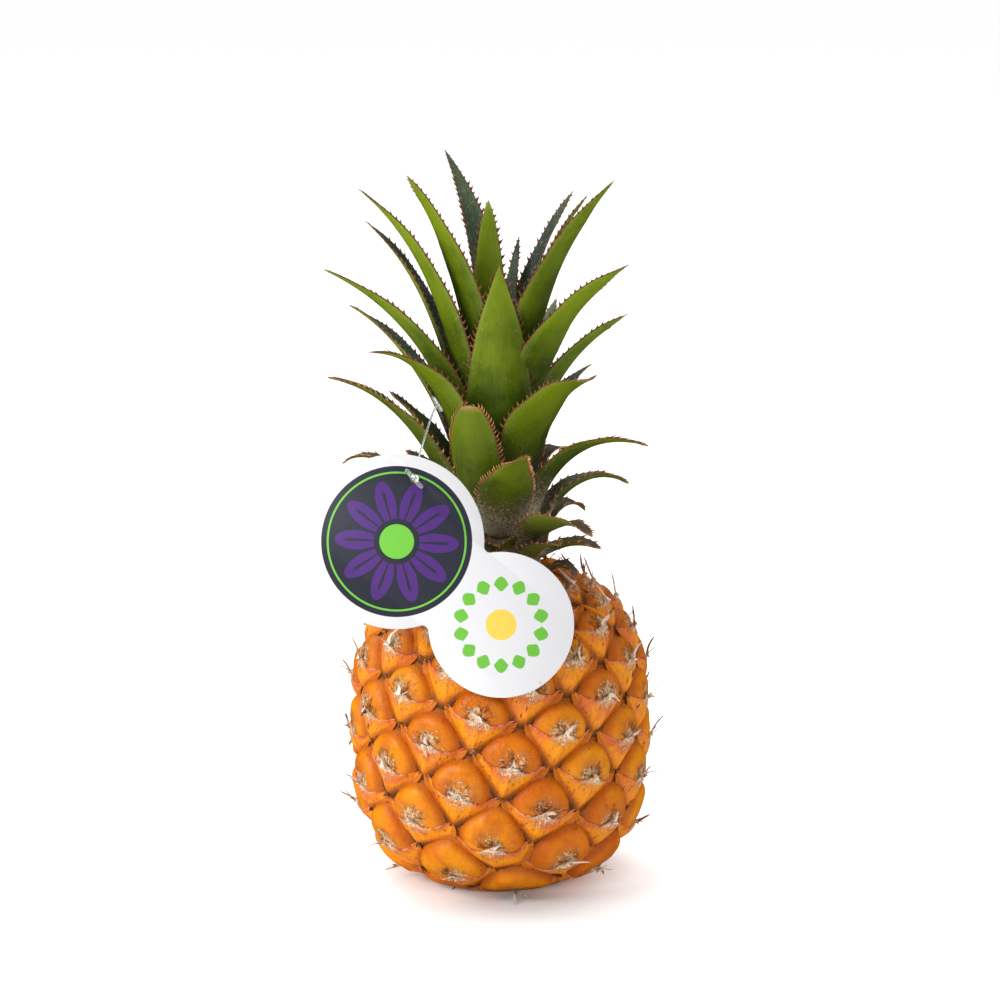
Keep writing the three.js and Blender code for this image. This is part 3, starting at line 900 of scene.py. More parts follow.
    def domes(self) -> bpy.types.Mesh:
        """Makes the skin: a fan of rings in every cell, joined along the grooves.

        Returns:
            Its mesh.
        """
        parts = MeshParts()
        share = 1 - np.linspace(0, 1, self.rings + 1)[1:][::-1] ** self.ring_crowding
        share = np.append(share[1:], 1.0)[:, None, None]
        for eye, bract in zip(self.eyes, [*self.bracts, None, None]):
            border = eye.border(self.skin, self.edge_step)
            columns = len(border)
            units = unit(lerp(eye.centre, border, share))
            every = np.concatenate([eye.centre[None], units.reshape(-1, 3)])
            lift = self.bed_lift(eye, bract, every)
            lift[-columns:] = -self.groove
            around = np.arange(columns)
            following = 1 + (around + 1) % columns
            fan = np.stack([np.zeros(columns, int), 1 + around, following, following], -1)
            rings = grid_faces(len(share), columns, closed=True)[:, ::-1] + 1
            x, y = eye.local(every)
            edge = 0.0 if eye.pole else eye.edge_distance(every, self.roundness)
            parts.add(self.skin.points(every, lift), np.concatenate([fan, rings]), eye_x=x, eye_y=y,
                      eye_edge=edge, eye_corner=eye.corner_distance(every), eye_seed=eye.seed)
        return parts.mesh("fruit_domes", welded=True)

    def bract_lift(self, bract: Bract, rise: Array, free: Array) -> Array:
        """Height of a bract over the smooth fruit.

        Args:
            bract: The bract.
            rise: Shares of the way from its foot to its margin, one a row.
            free: Height of its margin, one a column.

        Returns:
            The heights, with the columns' own keel and folds.
        """
        chance, share = bract.eye.chance, bract.share
        foot = self.foot_lift - self.groove
        bow = np.sin(np.pi * np.maximum(rise, 0))
        centre = ridge(share, self.bulge_width)
        near, far = self.fold_place
        folds = sum(chance.uniform(*self.fold) * ridge(share - place, self.fold_width)
                    for place in (chance.uniform(-far, -near), chance.uniform(near, far)))
        keel = self.keel * ridge(share, self.keel_width) * bow
        flank = self.bulge * bow * centre - self.flank_dip * bow * (1 - centre)
        return foot + (free - foot) * np.abs(rise) ** 0.95 * np.sign(rise) + keel + folds * bow + flank

    def bract_sheets(self) -> bpy.types.Mesh:
        """Makes the bracts: a sheet over the lower half of every cell, with a lip along its free margin.

        Returns:
            Their mesh.
        """
        parts = MeshParts()
        rise = np.append(-self.tuck, np.linspace(0, 1, self.bract_rows))[:, None]
        for bract in self.bracts:
            eye, share = bract.eye, bract.share
            units = unit(lerp(bract.below, bract.margin, rise[..., None]))
            away = unit(bract.below - eye.centre) * self.spread / eye.scale
            units[0] = unit(bract.below + away * (1 - np.abs(share) ** 6)[:, None])
            free = self.dome_lift(eye, bract.margin) + self.margin_step
            free = free + self.beak * ridge(share, self.beak_width)
            lift = self.bract_lift(bract, rise, free)
            x, y = eye.local(bract.margin)
            frayed = np.array([eye.chance.uniform(*self.fray) for _ in share])
            over = eye.direction(x, y + (self.lip_reach + frayed) * (1 - np.abs(share) ** 4))
            under = eye.direction(x, y - self.lip_back)
            sheet = np.concatenate([
                self.skin.points(units, lift),
                self.skin.points(over, free - 0.5 * self.lip)[None],
                self.skin.points(under, free - self.margin_step - self.lip_drop)[None],
            ])
            rows = np.append(rise[:, 0], [1.0, 1.0])[:, None]
            x, y = eye.local(np.concatenate([units, bract.margin[None], bract.margin[None]]))
            parts.grid(sheet, bract_a=share[None], bract_b=rows, eye_x=x, eye_y=y, eye_seed=eye.seed)
        return parts.mesh("fruit_bracts")


@dataclass
class Stance:
    """Where a dry tip grows: its root, and the directions along the skin and out of it."""

    root: Array
    north: Array
    up: Array

    def __post_init__(self) -> None:
        """Finds the third direction."""
        self.east = np.cross(self.north, self.up)

    def ahead(self, heading: float, rise: float) -> Array:
        """The direction at an angle from north along the skin and at another out of it."""
        level = math.cos(heading) * self.north + math.sin(heading) * self.east
        return math.cos(rise) * level + math.sin(rise) * self.up


def angle_in(chance: random.Random, span: Span) -> float:
    """A chance angle in a span of degrees, in radians."""
    return math.radians(chance.uniform(*span))


@dataclass
class DryTips:
    """The dry tips of the bracts: papery spikes, and a few curling strands and crumbs."""

    fruit: Fruit
    drooping: float = 0.12  # share of tips that hang down
    hanging: Span = (-125.0, 130.0)  # the two headings of these, in degrees from north towards east
    hanging_length: float = 0.65
    heading: Span = (16.0, 26.0)  # mean and spread of the others' headings
    length: Span = (4.6, 8.6)
    width: Span = (0.55, 0.95)
    forked: float = 0.4  # share of tips with a second, shorter spike
    fork_turn: Span = (8.0, 26.0)
    fork_length: Span = (0.3, 0.55)
    fork_width: float = 0.28
    fork_age: float = 0.5
    stand: Span = (14.0, 42.0)
    bend: Span = (-18.0, 30.0)
    twist: Span = (-70.0, 70.0)
    sway: Span = (-0.35, 0.35)
    rows: int = 13
    columns: int = 7
    root_back: float = 0.2  # where a tip stands behind its place, and over the bract's margin
    root_lift: float = 0.25
    sunk: float = 0.7  # how far back its root starts
    flare: float = 0.45
    flare_reach: float = 0.8
    point: float = 0.04
    ragged: float = 0.22
    fold: float = 0.8
    crease: float = 0.07
    thickness: float = 0.1
    strands: tuple[int, int] = (1, 2)
    strand_length: Span = (2.6, 7.0)
    strand_heading: Span = (-70.0, 75.0)
    strand_rise: Span = (15.0, 60.0)
    strand_curl: Span = (-60.0, 70.0)
    strand_radius: Span = (0.2, 0.04)
    strand_back: float = 0.5
    strand_aside: Span = (-0.8, 0.8)
    strand_steps: int = 7
    strand_sides: int = 5
    strand_age: float = 0.4
    crumbs: float = 0.55  # share of eyes with a dry crumb in the pit below
    crumb_length: Span = (1.2, 2.4)
    crumb_width: float = 0.4
    crumb_lift: float = 0.5  # over the groove
    crumb_age: float = 0.9
    floor: float = 0.15  # nothing reaches lower

    def __post_init__(self) -> None:
        """Starts the mesh."""
        self.parts = MeshParts()

    def mesh(self) -> bpy.types.Mesh:
        """Grows the tips of every bract.

        Returns:
            Their mesh.
        """
        for bract in self.fruit.bracts:
            chance = random.Random(f"tip{bract.eye.seed}")
            stance = self.stance(bract)
            hangs = chance.random() < self.drooping
            heading = math.radians(chance.choice(self.hanging) if hangs else chance.gauss(*self.heading))
            length = chance.uniform(*self.length) * (self.hanging_length if hangs else 1.0)
            self.blade(chance, stance, heading, length, chance.uniform(*self.width))
            if chance.random() < self.forked:
                aside = heading + chance.choice((-1, 1)) * angle_in(chance, self.fork_turn)
                self.blade(chance, stance, aside, length * chance.uniform(*self.fork_length), self.fork_width,
                           self.fork_age)
            for _ in range(chance.randint(*self.strands)):
                self.strand(chance, stance)
            if chance.random() < self.crumbs:
                self.crumb(chance, bract)
        for block in self.parts.points:
            block[..., 2] = np.maximum(block[..., 2], self.floor)
        return self.parts.mesh("fruit_tips")

    def stance(self, bract: Bract) -> Stance:
        """Where the dry tip of a bract grows.

        Args:
            bract: The bract.

        Returns:
            The place and its directions.
        """
        eye, skin = bract.eye, self.fruit.skin
        root = eye.direction(0.0, TIP_PLACE - self.root_back)
        base = float(self.fruit.dome_lift(eye, root[None])[0]) + self.fruit.margin_step
        north = unit(skin.points(eye.direction(0, TIP_PLACE + 1), 0.0) - skin.points(root, 0.0))
        return Stance(skin.points(root, base + self.root_lift), north, skin.normal(root))

    def blade(self, chance: random.Random, stance: Stance, heading: float, length: float, width: float,
              age: float = 0.0) -> None:
        """Adds one papery spike: folded along its middle, with a short broad root.

        Args:
            chance: The eye's own chances.
            stance: Where it grows.
            heading: Its direction along the skin, from north towards east.
            length: Its length.
            width: Half its width above the root.
            age: How brown it has turned.
        """
        stand, bend, twist = (angle_in(chance, span) for span in (self.stand, self.bend, self.twist))
        sway = chance.uniform(*self.sway)
        share = np.linspace(-1, 1, self.columns)
        points = np.zeros((self.rows, self.columns, 3))
        place = stance.root - self.sunk * stance.north
        for i, t in enumerate(np.linspace(0, 1, self.rows)):
            angle = heading * float(smooth(t * 2.5)) + sway * math.sin(6 * t)
            ahead = stance.ahead(angle, stand * float(smooth(t * 3 + 0.25)) + bend * t)
            side = unit(np.cross(ahead, stance.up))
            face = np.cross(side, ahead)
            side, face = (turned_about(v, ahead, twist * t * t) for v in (side, face))
            half = self.flare * math.exp(-t * length / self.flare_reach) + width * (1 - t) ** 0.9 + self.point
            ragged = np.array([chance.uniform(-self.ragged, self.ragged) for _ in share])
            rim = half * (1 + ragged * np.abs(share))
            fold = self.fold * half * np.abs(share) ** 1.3 + self.crease * np.cos(9 * share + 4 * t)
            points[i] = place + side * (share * rim)[:, None] + face * fold[:, None]
            place = place + ahead * length / (self.rows - 1)
        values = {"tip_t": np.linspace(0, 1, self.rows)[:, None], "tip_x": share[None],
                  "tip_seed": chance.random() + age}
        self.parts.grid(points, **values)
        self.parts.grid(points[:, ::-1] - self.thickness * face, **values)

    def strand(self, chance: random.Random, stance: Stance) -> None:
        """Adds one thin curling strand.

        Args:
            chance: The eye's own chances.
            stance: Where it grows.
        """
        length = chance.uniform(*self.strand_length)
        heading, rise, curl = (
            angle_in(chance, span) for span in (self.strand_heading, self.strand_rise, self.strand_curl))
        aside = chance.uniform(*self.strand_aside)
        path = [stance.root - self.strand_back * stance.north + aside * stance.east]
        steps = self.strand_steps
        for t in np.arange(steps) / steps:
            ahead = stance.ahead(heading + 0.8 * t * math.sin(7 * length), rise + curl * t)
            path.append(path[-1] + ahead * length / steps)
        radius, t = (np.linspace(*span, steps + 1) for span in (self.strand_radius, (0.2, 1.0)))
        self.parts.tube(np.array(path), radius, self.strand_sides, tip_x=0.5, tip_t=t[:, None],
                        tip_seed=chance.random() + self.strand_age)

    def crumb(self, chance: random.Random, bract: Bract) -> None:
        """Adds a dry crumb in the pit where a bract ends between two domes.

        Args:
            chance: The eye's own chances.
            bract: The bract.
        """
        _, y = bract.eye.local(bract.below)
        place = bract.below[int(np.argmin(y))]
        up = self.fruit.skin.normal(place)
        north = unit(np.array([0.0, 0.0, 1.0]) - up * up[2])
        stance = Stance(self.fruit.skin.points(place, self.crumb_lift - self.fruit.groove), north, up)
        heading, length = angle_in(chance, (-180, 180)), chance.uniform(*self.crumb_length)
        self.blade(chance, stance, heading, length, self.crumb_width, self.crumb_age)


# ---- Crown -----------------------------------------------------------------------------------------
@dataclass(frozen=True)
class Leaf:
    """The shape of one leaf. Leans are degrees outward from upright."""

    number: int
    length: float
    root: float
    tip: float
    half: float
    late: float = 1.5  # how late along its length it bends over
    turn: float = 0.0  # degrees off its place in the spiral
    roll: float = 0.0
    sway: float = 0.0  # how far the tip drifts aside
    blunt: float = 0.9
    spine_pitch: float = 2.25
    spine_length: float = 1.28
    azimuth: float = 0.0
    radius: float = 0.0
    height: float = 0.0
    age: float = 0.0


@dataclass
class Crown:
    """The crown: leaves on a spiral from the oldest at the foot to the youngest in the heart."""

    oldest: int = -4
    youngest: int = 49
    front_leaf: int = 27
    front_azimuth: float = 5.0
    old_root: Span = (13.2, 92.6)  # radius and height
    young_root: Span = (3.7, 123.7)
    # The rule for a leaf that isn't noted, from the oldest to the youngest.
    lengths: Span = (20.0, 62.0)
    roots: Span = (50.0, 3.0)
    tips: Span = (100.0, 12.0)
    halves: Span = (4.0, 6.0)
    heart_age: float = 0.3  # the leaves of the heart, younger than this, are shorter and narrower
    heart_fade: float = 0.2
    heart_length: float = 22.0
    heart_half: float = 2.5
    # The blade.
    channel: float = 1.25  # the radius of a blade's channel, in half widths
    margin_thickness: float = 0.4
    rib_thickness: float = 1.3
    rib_fade: float = 0.75
    outer_share: float = 0.62  # how much of the thickness lies outside the middle sheet
    root_half: float = 0.8  # the width at the root, as a share of the widest and of the root's radius
    root_wrap: float = 1.05
    widening: float = 0.3  # share of the length over which a blade reaches its width
    roll_reach: float = 0.5
    narrowing: float = 2.8
    ripple: float = 0.035
    flutter: float = 0.18
    least_half: float = 0.12
    step: float = 1.15
    crowding: float = 0.6  # how far the rows gather at the tip
    across: int = 11
    walk_steps: int = 48
    # The spines.
    spine_ring: int = 6
    spine_starts: Span = (0.5, 1.0)  # the first one's place, and the gaps, in pitches
    spine_gaps: Span = (0.8, 1.25)
    gap_factors: Span = (1.25, 0.75)  # how much wider the gaps are at the root and at the tip
    spine_sizes: Span = (0.75, 1.2)
    slim_size: float = 0.4  # the size where a blade is narrowest
    slim_half: float = 3.5  # the half width over which the size grows by 1
    bare_root: float = 0.04  # a share of the leaf's length
    bare_tip: float = 0.9
    # The rings of one spine, in its lengths: reach, forward, half length, half thickness and share so far.
    hook: tuple[tuple[float, ...], ...] = (
        (-0.25, -0.1, 0.55, 0.2, 0.05),
        (0.15, 0.0, 0.34, 0.16, 0.3),
        (0.52, 0.2, 0.17, 0.1, 0.6),
        (0.8, 0.58, 0.08, 0.055, 0.85),
        (0.9, 1.0, 0.0, 0.0, 1.0),
    )
    noted: dict[int, dict[str, float]] = field(default_factory=lambda: {
        -4: dict(length=13, root=45, tip=170, half=3),
        -1: dict(length=26, root=5, tip=160, late=2, half=5, turn=4),
        4: dict(length=20, root=60, tip=115, late=1.6, half=4.5, turn=-16),
        6: dict(length=16, root=40, tip=110, half=6),
        7: dict(length=39, root=-5, tip=130, late=1.6, half=5, turn=8),
        8: dict(length=45, root=38, tip=150, late=4.5, half=5.5, roll=5),
        9: dict(length=40.5, root=56, tip=113, late=1.9, half=6.5, turn=-19, roll=-15),
        11: dict(length=14, root=60, tip=100, half=5),
        12: dict(length=35, root=28, tip=132, late=1.6, half=5.8, turn=3, roll=-8),
        13: dict(length=30, root=30, tip=70),
        14: dict(length=51, root=34, tip=78, late=1.4, half=8, turn=-15, blunt=2, sway=6, spine_pitch=1.55),
        15: dict(root=22, tip=66),
        16: dict(length=63, root=24, tip=81, late=2.1, half=7.2, turn=-4, roll=-2),
        17: dict(length=50, root=12, tip=107, late=1.2, half=5.6, turn=-6, roll=-8),
        19: dict(length=38, root=31, tip=-8, half=8.2, turn=-10, blunt=0.35, spine_pitch=1.3),
        20: dict(length=51, root=9, tip=75, half=4.2, turn=11),
        21: dict(length=42, root=20, tip=55),
        22: dict(length=64, root=-2, tip=76, late=0.8, half=8.2, turn=-7, blunt=0.45),
        24: dict(length=66, root=12, tip=92, late=2.1, half=8, turn=-6, roll=-2),
        25: dict(length=65.2, root=-5, tip=63, late=1.1, half=6.6, roll=-26),
        26: dict(length=75.5, root=29, tip=78, late=1.8, half=6.4, roll=22),
        27: dict(length=70.3, root=10, tip=-4, half=11, turn=-6, blunt=1.15),
        28: dict(turn=13),
        29: dict(length=82, root=7, tip=67, late=1.3, half=8, roll=12),
        30: dict(length=85, root=-5, tip=65, late=1, half=7.2, turn=-9, roll=-10),
        32: dict(length=83, root=0, tip=0, half=6.2, roll=15, blunt=0.7),
        33: dict(length=38, root=5, tip=35),
        34: dict(length=83, root=14, tip=58, late=2.7, half=6.6, roll=12),
        35: dict(length=40, root=0, tip=5, half=4),
        37: dict(length=95.5, root=11, tip=57, late=2.3, half=6),
        38: dict(length=86, root=-5, tip=41, late=1.4, half=4.4, turn=-3),
        39: dict(length=96, root=-5, tip=49, late=1.8, half=6),
        40: dict(length=40, root=-4, tip=8, half=4),
        41: dict(length=83, root=-5, tip=45, late=1.4, half=4.2, turn=-2),
        42: dict(length=40, root=5, tip=18),
        43: dict(length=93.2, root=4, tip=50, late=1.4, half=8.2, turn=6, roll=2),
        45: dict(length=90.2, root=7, tip=44, late=1.8, half=7, turn=-7, roll=-4),
        49: dict(length=61, root=-3, tip=21, late=1.4, half=3.5),
    })

    def build(self) -> None:
        """Builds and dresses every leaf over its node."""
        material = LeafFinish().material()
        for number in range(self.oldest, self.youngest + 1):
            node = f"crown_leaf_{number - self.oldest + 1:02d}"
            make_piece(f"{node}_blade", self.blade(self.leaf(number)), Slot.LEAF, [node], material)

    def leaf(self, number: int) -> Leaf:
        """The shape of a leaf, from the rule for its age and what is noted for it.

        Args:
            number: Its number in the spiral.

        Returns:
            The shape.
        """
        age = (self.youngest - number) / (self.youngest - self.oldest)
        rank = number / self.youngest
        heart = float(smooth((self.heart_age - age) / self.heart_fade))
        rule = dict(
            length=lerp(*self.lengths, float(smooth((1 - age) * 1.6))) - self.heart_length * heart,
            root=lerp(*self.roots, 1 - age),
            tip=lerp(*self.tips, 1 - age),
            half=lerp(*self.halves, float(smooth((1 - age) * 2))) - self.heart_half * heart,
        )
        noted = rule | self.noted.get(number, {})
        azimuth = math.radians(self.front_azimuth + noted.get("turn", 0.0))
        return Leaf(
            number=number,
            azimuth=azimuth + GOLDEN_ANGLE * (number - self.front_leaf),
            radius=lerp(self.old_root[0], self.young_root[0], rank),
            height=lerp(self.old_root[1], self.young_root[1], rank),
            age=age,
            **noted,
        )

    def midline(self, leaf: Leaf, s: Array) -> tuple[Array, Array, Array]:
        """The middle of a leaf and the directions of its section.

        Args:
            leaf: The leaf's shape.
            s: Shares of its length.

        Returns:
            For each share a point, the direction across the blade and the one towards the crown's heart.
        """
        lean = np.radians(lerp(leaf.root, leaf.tip, s**leaf.late))
        walked = np.linspace(0, 1, self.walk_steps + 1)
        leans = np.radians(lerp(leaf.root, leaf.tip, walked[:-1] ** leaf.late))
        step = leaf.length / self.walk_steps
        radius = leaf.radius + np.interp(s, walked, summed(step * np.sin(leans)))
        height = leaf.height + np.interp(s, walked, summed(step * np.cos(leans)))
        along = polar(np.sin(lean), leaf.azimuth, np.cos(lean))
        inward = -polar(np.cos(lean), leaf.azimuth, -np.sin(lean))
        across = np.broadcast_to(polar(1.0, leaf.azimuth + np.pi / 2, 0.0), inward.shape)
        middle = polar(radius, leaf.azimuth, height) + across * (leaf.sway * s * s)[:, None]
        roll = np.radians(leaf.roll) * smooth(s / self.roll_reach)
        return middle, turned_about(across, along, roll), turned_about(inward, along, roll)

    def half_widths(self, leaf: Leaf, s: Array, chance: random.Random) -> Array:
        """Half the width of a leaf along its length.

        Args:
            leaf: The leaf's shape.
            s: Shares of its length.
            chance: The leaf's own chances.

        Returns:
            Half a width for each share.
        """
        root_half = min(self.root_half * leaf.half, self.root_wrap * leaf.radius)
        half = lerp(root_half, leaf.half, smooth(s / self.widening)) * (1 - s**self.narrowing) ** leaf.blunt
        wave = 1 + self.ripple * np.sin(s * chance.uniform(9, 15) + chance.uniform(0, 6))
        return np.maximum(half * wave, self.least_half)

    def blade(self, leaf: Leaf) -> bpy.types.Mesh:
        """Makes one leaf: a channelled blade with hooked spines along both margins.

        Args:
            leaf: Its shape.

        Returns:
            Its mesh.
        """
        count = max(12, round(leaf.length / self.step))
        even = np.linspace(0, 1, count + 1)
        s = lerp(even, 1 - (1 - even) ** 2, self.crowding)
        middle, across, inward = self.midline(leaf, s)
        chance = random.Random(leaf.number)
        half = self.half_widths(leaf, s, chance)
        share = np.sin(np.linspace(-np.pi / 2, np.pi / 2, self.across))
        x = share * half[:, None]
        bend = lerp(leaf.radius, self.channel * leaf.half, smooth(s / self.widening))[:, None]
        flutter = self.flutter * np.sin(s * 21 + chance.uniform(0, 6))[:, None] * share**3
        curl = x * x / (2 * bend) + flutter
        centre = middle[:, None] + across[:, None] * x[..., None] + inward[:, None] * curl[..., None]
        rib = self.rib_thickness * (1 - self.rib_fade * s) * np.minimum(1, half / 2)
        margin = self.margin_thickness * np.minimum(1, half / 0.8)
        thick = margin[:, None] + rib[:, None] * (1 - share**2)
        thickness = inward[:, None] * thick[..., None]
        outer = centre - self.outer_share * thickness
        inner = centre + (1 - self.outer_share) * thickness
        ring = np.concatenate([outer, inner[:, ::-1]], 1)
        ends = [row.mean(1, keepdims=True).repeat(ring.shape[1], 1) for row in (ring[:1], ring[-1:])]
        rows = np.concatenate([s[:1], s, s[-1:]])[:, None]
        parts = MeshParts()
        parts.grid(np.concatenate([ends[0], ring, ends[1]]), closed=True, leaf_s=rows,
                   leaf_x=np.concatenate([share, share[::-1]])[None],
                   leaf_inner=np.repeat([0.0, 1.0], self.across)[None], leaf_spine=0.0,
                   leaf_age=leaf.age, leaf_seed=chance.random(), leaf_mm=rows * leaf.length)
        self.spines(parts, leaf, chance, s, centre, half)
        return parts.mesh("leaf_blade")

    def spines(self, parts: MeshParts, leaf: Leaf, chance: random.Random, s: Array, centre: Array,
               half: Array) -> None:
        """Adds the hooked spines of a leaf.

        Args:
            parts: The leaf's mesh.
            leaf: Its shape.
            chance: Its own chances.
            s: Shares of its length.
            centre: Points of its middle sheet, a row for each share.
            half: Half its width at each share.
        """
        seed = chance.random()
        for side, column, within in ((-1, 0, 1), (1, -1, -2)):
            edge = centre[:, column]
            outward = unit(edge - centre[:, within])
            walked = summed(np.linalg.norm(np.diff(edge, axis=0), axis=1))
            tangents = unit(np.gradient(edge, walked, axis=0))
            place = chance.uniform(*self.spine_starts) * leaf.spine_pitch + self.bare_root * leaf.length
            while place < walked[-1] - self.bare_tip:
                at = [float(np.interp(place, walked, v)) for v in (s, half)]
                root, ahead, out = (np.array([np.interp(place, walked, v[:, axis]) for axis in range(3)])
                                    for v in (edge, tangents, outward))
                ahead = unit(ahead)
                out = unit(out - ahead * (out @ ahead))
                size = leaf.spine_length * chance.uniform(*self.spine_sizes)
                size *= min(1.0, self.slim_size + at[1] / self.slim_half)
                self.spine(parts, root, out, ahead, size, leaf_s=at[0], leaf_x=float(side),
                           leaf_age=leaf.age, leaf_seed=seed, leaf_mm=place)
                gap = leaf.spine_pitch * chance.uniform(*self.spine_gaps)
                place += gap * lerp(*self.gap_factors, place / walked[-1])

    def spine(self, parts: MeshParts, root: Array, out: Array, ahead: Array, size: float,
              **values: float) -> None:
        """Adds one hooked spine.

        Args:
            parts: The leaf's mesh.
            root: Its place on the leaf's margin.
            out: The direction out of the margin.
            ahead: The direction along the margin to the leaf's tip.
            size: Its length.
            **values: The leaf's values at its root.
        """
        face = np.cross(out, ahead)
        angle = round_angles(self.spine_ring)[:, None]
        reach, forward, long, thick, share = np.array(self.hook).T[..., None, None]
        middle = root + size * (reach * out + forward * ahead)
        points = middle + size * (long * np.cos(angle) * ahead + thick * np.sin(angle) * face)
        parts.grid(points, closed=True, leaf_spine=share[..., 0], leaf_inner=0.0, **values)


# ---- Swing tag -------------------------------------------------------------------------------------
@dataclass
class SwingTag:
    """The card of two joined discs and its plastic fastener."""

    thickness: float = 0.6
    big: float = 24.0
    small: float = 20.0
    spacing: float = 36.6
    fillet: float = 1.6
    arc_steps: tuple[int, int, int, int] = (120, 10, 96, 10)  # big disc, fillet, small disc, fillet
    soft: float = 0.1  # how far the card's edges are rounded
    hole_radius: float = 1.2
    hole_distance: float = 17.8
    hole_angle: float = 113.0
    hole_steps: int = 28
    place: Place = (-28.3, -34.4, 105.5)
    lean: float = 12.0
    turn: float = -38.6
    wire_radius: float = 0.3
    wire_sides: int = 10
    wire_steps: int = 12
    behind: float = 1.2  # where the wire turns up behind the card
    rise: tuple[Place, ...] = ((6.1, 23.4, -1.5), (9.2, 34, -8.5), (10.9, 38, -12))
    bar_radius: float = 0.62
    bar_sides: int = 12
    bar_steps: int = 15
    bar_length: float = 7.0
    bar_angle: float = -9.0
    bar_stand: float = 0.95  # from the card's face to the bar's middle
    end_length: float = 5.0
    end_angle: float = 122.0

    def __post_init__(self) -> None:
        """Works out the tag's own frame."""
        tilt = Matrix.Rotation(math.radians(90 - self.lean), 3, "X")
        self.frame = np.array(tilt @ Matrix.Rotation(math.radians(self.turn), 3, "Z"))
        angle = math.radians(self.hole_angle)
        self.hole = self.hole_distance * np.array([math.cos(angle), math.sin(angle)])

    def build(self) -> None:
        """Builds and dresses the card and the fastener over their nodes."""
        print_finish = CardFinish().material(self.spacing)
        make_piece("tag_card_print", self.card(), Slot.CARD, ["tag_card"], print_finish)
        make_piece("tag_pin_clear", self.pin(), Slot.PIN, ["tag_pin"], PlasticFinish().material())

    def placed(self, points: Array) -> Array:
        """Points of the tag's frame in the part's frame."""
        return points @ self.frame.T + np.array(self.place)

    def outline(self, inset: float) -> Array:
        """The card's outline.

        Args:
            inset: How far it is drawn in.

        Returns:
            Its points, counter-clockwise.
        """
        big, small, fillet = self.big - inset, self.small - inset, self.fillet + inset
        to_big, to_small = big + fillet, small + fillet
        along = (self.spacing**2 + to_big**2 - to_small**2) / (2 * self.spacing)
        aside = math.sqrt(to_big**2 - along**2)
        one, two = math.atan2(aside, along), math.atan2(aside, along - self.spacing)
        arcs = (
            (0.0, 0.0, big, one, 2 * math.pi - one),
            (along, -aside, fillet, math.pi - one, math.pi - two),
            (self.spacing, 0.0, small, -two, two),
            (along, aside, fillet, two + math.pi, one + math.pi),
        )
        return np.array([
            (x + r * math.cos(a), y + r * math.sin(a))
            for (x, y, r, start, end), count in zip(arcs, self.arc_steps)
            for a in np.linspace(start, end, count, endpoint=False)
        ])

    def card(self) -> bpy.types.Mesh:
        """Makes the card with softly rounded edges and its hole.

        Returns:
            Its mesh.
        """
        soft, top = self.soft, self.thickness
        angle = -round_angles(self.hole_steps)
        circle = np.column_stack([np.cos(angle), np.sin(angle)])
        outer, inner = [], []
        for inset, z in ((soft, 0.0), (0.0, soft), (0.0, top - soft), (soft, top)):
            hole = self.hole + circle * (self.hole_radius + inset)
            for loops, loop in ((outer, self.outline(inset)), (inner, hole)):
                loops.append(np.column_stack([loop, np.full(len(loop), z)]))
        parts = MeshParts()
        for ring in (np.array(outer), np.array(inner)):
            parts.grid(self.placed(ring), closed=True, tag_x=ring[..., 0], tag_y=ring[..., 1],
                       tag_front=(ring[..., 2] > top / 2).astype(float))
        for row, front in ((0, 0.0), (-1, 1.0)):
            flat = np.concatenate([outer[row], inner[row]])
            both = [[Vector(p) for p in loops[row]] for loops in (outer, inner)]
            faces = np.array(tessellate_polygon(both))
            a, b, c = (flat[faces[:, i], :2] for i in range(3))
            wrong = (np.cross(b - a, c - a) > 0) != (front > 0)
            faces[wrong] = faces[wrong][:, ::-1]
            parts.add(self.placed(flat), faces, tag_x=flat[:, 0], tag_y=flat[:, 1], tag_front=front)
        return parts.mesh("tag_card", welded=True)

    def pin(self) -> bpy.types.Mesh:
        """Makes the fastener: a bar in front of the card, and a wire through the hole up to a leaf.

        Returns:
            Its mesh.
        """
        parts = MeshParts()
        front = np.append(self.hole, self.thickness + self.bar_stand)
        back = np.append(self.hole, -self.behind)
        level = np.array(Matrix.Rotation(math.radians(-self.turn), 3, "Z"))
        rise = np.array(self.rise) @ level.T
        wire = spline(np.array([front, back, *rise]), self.wire_steps)
        parts.tube(self.placed(wire), self.wire_radius, self.wire_sides)
        t = np.sin(np.linspace(-np.pi / 2, np.pi / 2, self.bar_steps))
        radius = self.bar_radius * np.minimum(1, ((1 - np.abs(t)) * 6 + 0.02)) ** 0.4
        for middle, length, angle in (
            (front, self.bar_length, self.bar_angle),
            (rise[-1], self.end_length, self.end_angle - self.turn),
        ):
            angle = math.radians(angle)
            half = np.array([math.cos(angle), math.sin(angle), 0.0]) * length / 2
            parts.tube(self.placed(middle + half * t[:, None]), radius, self.bar_sides)
        return parts.mesh("tag_pin")


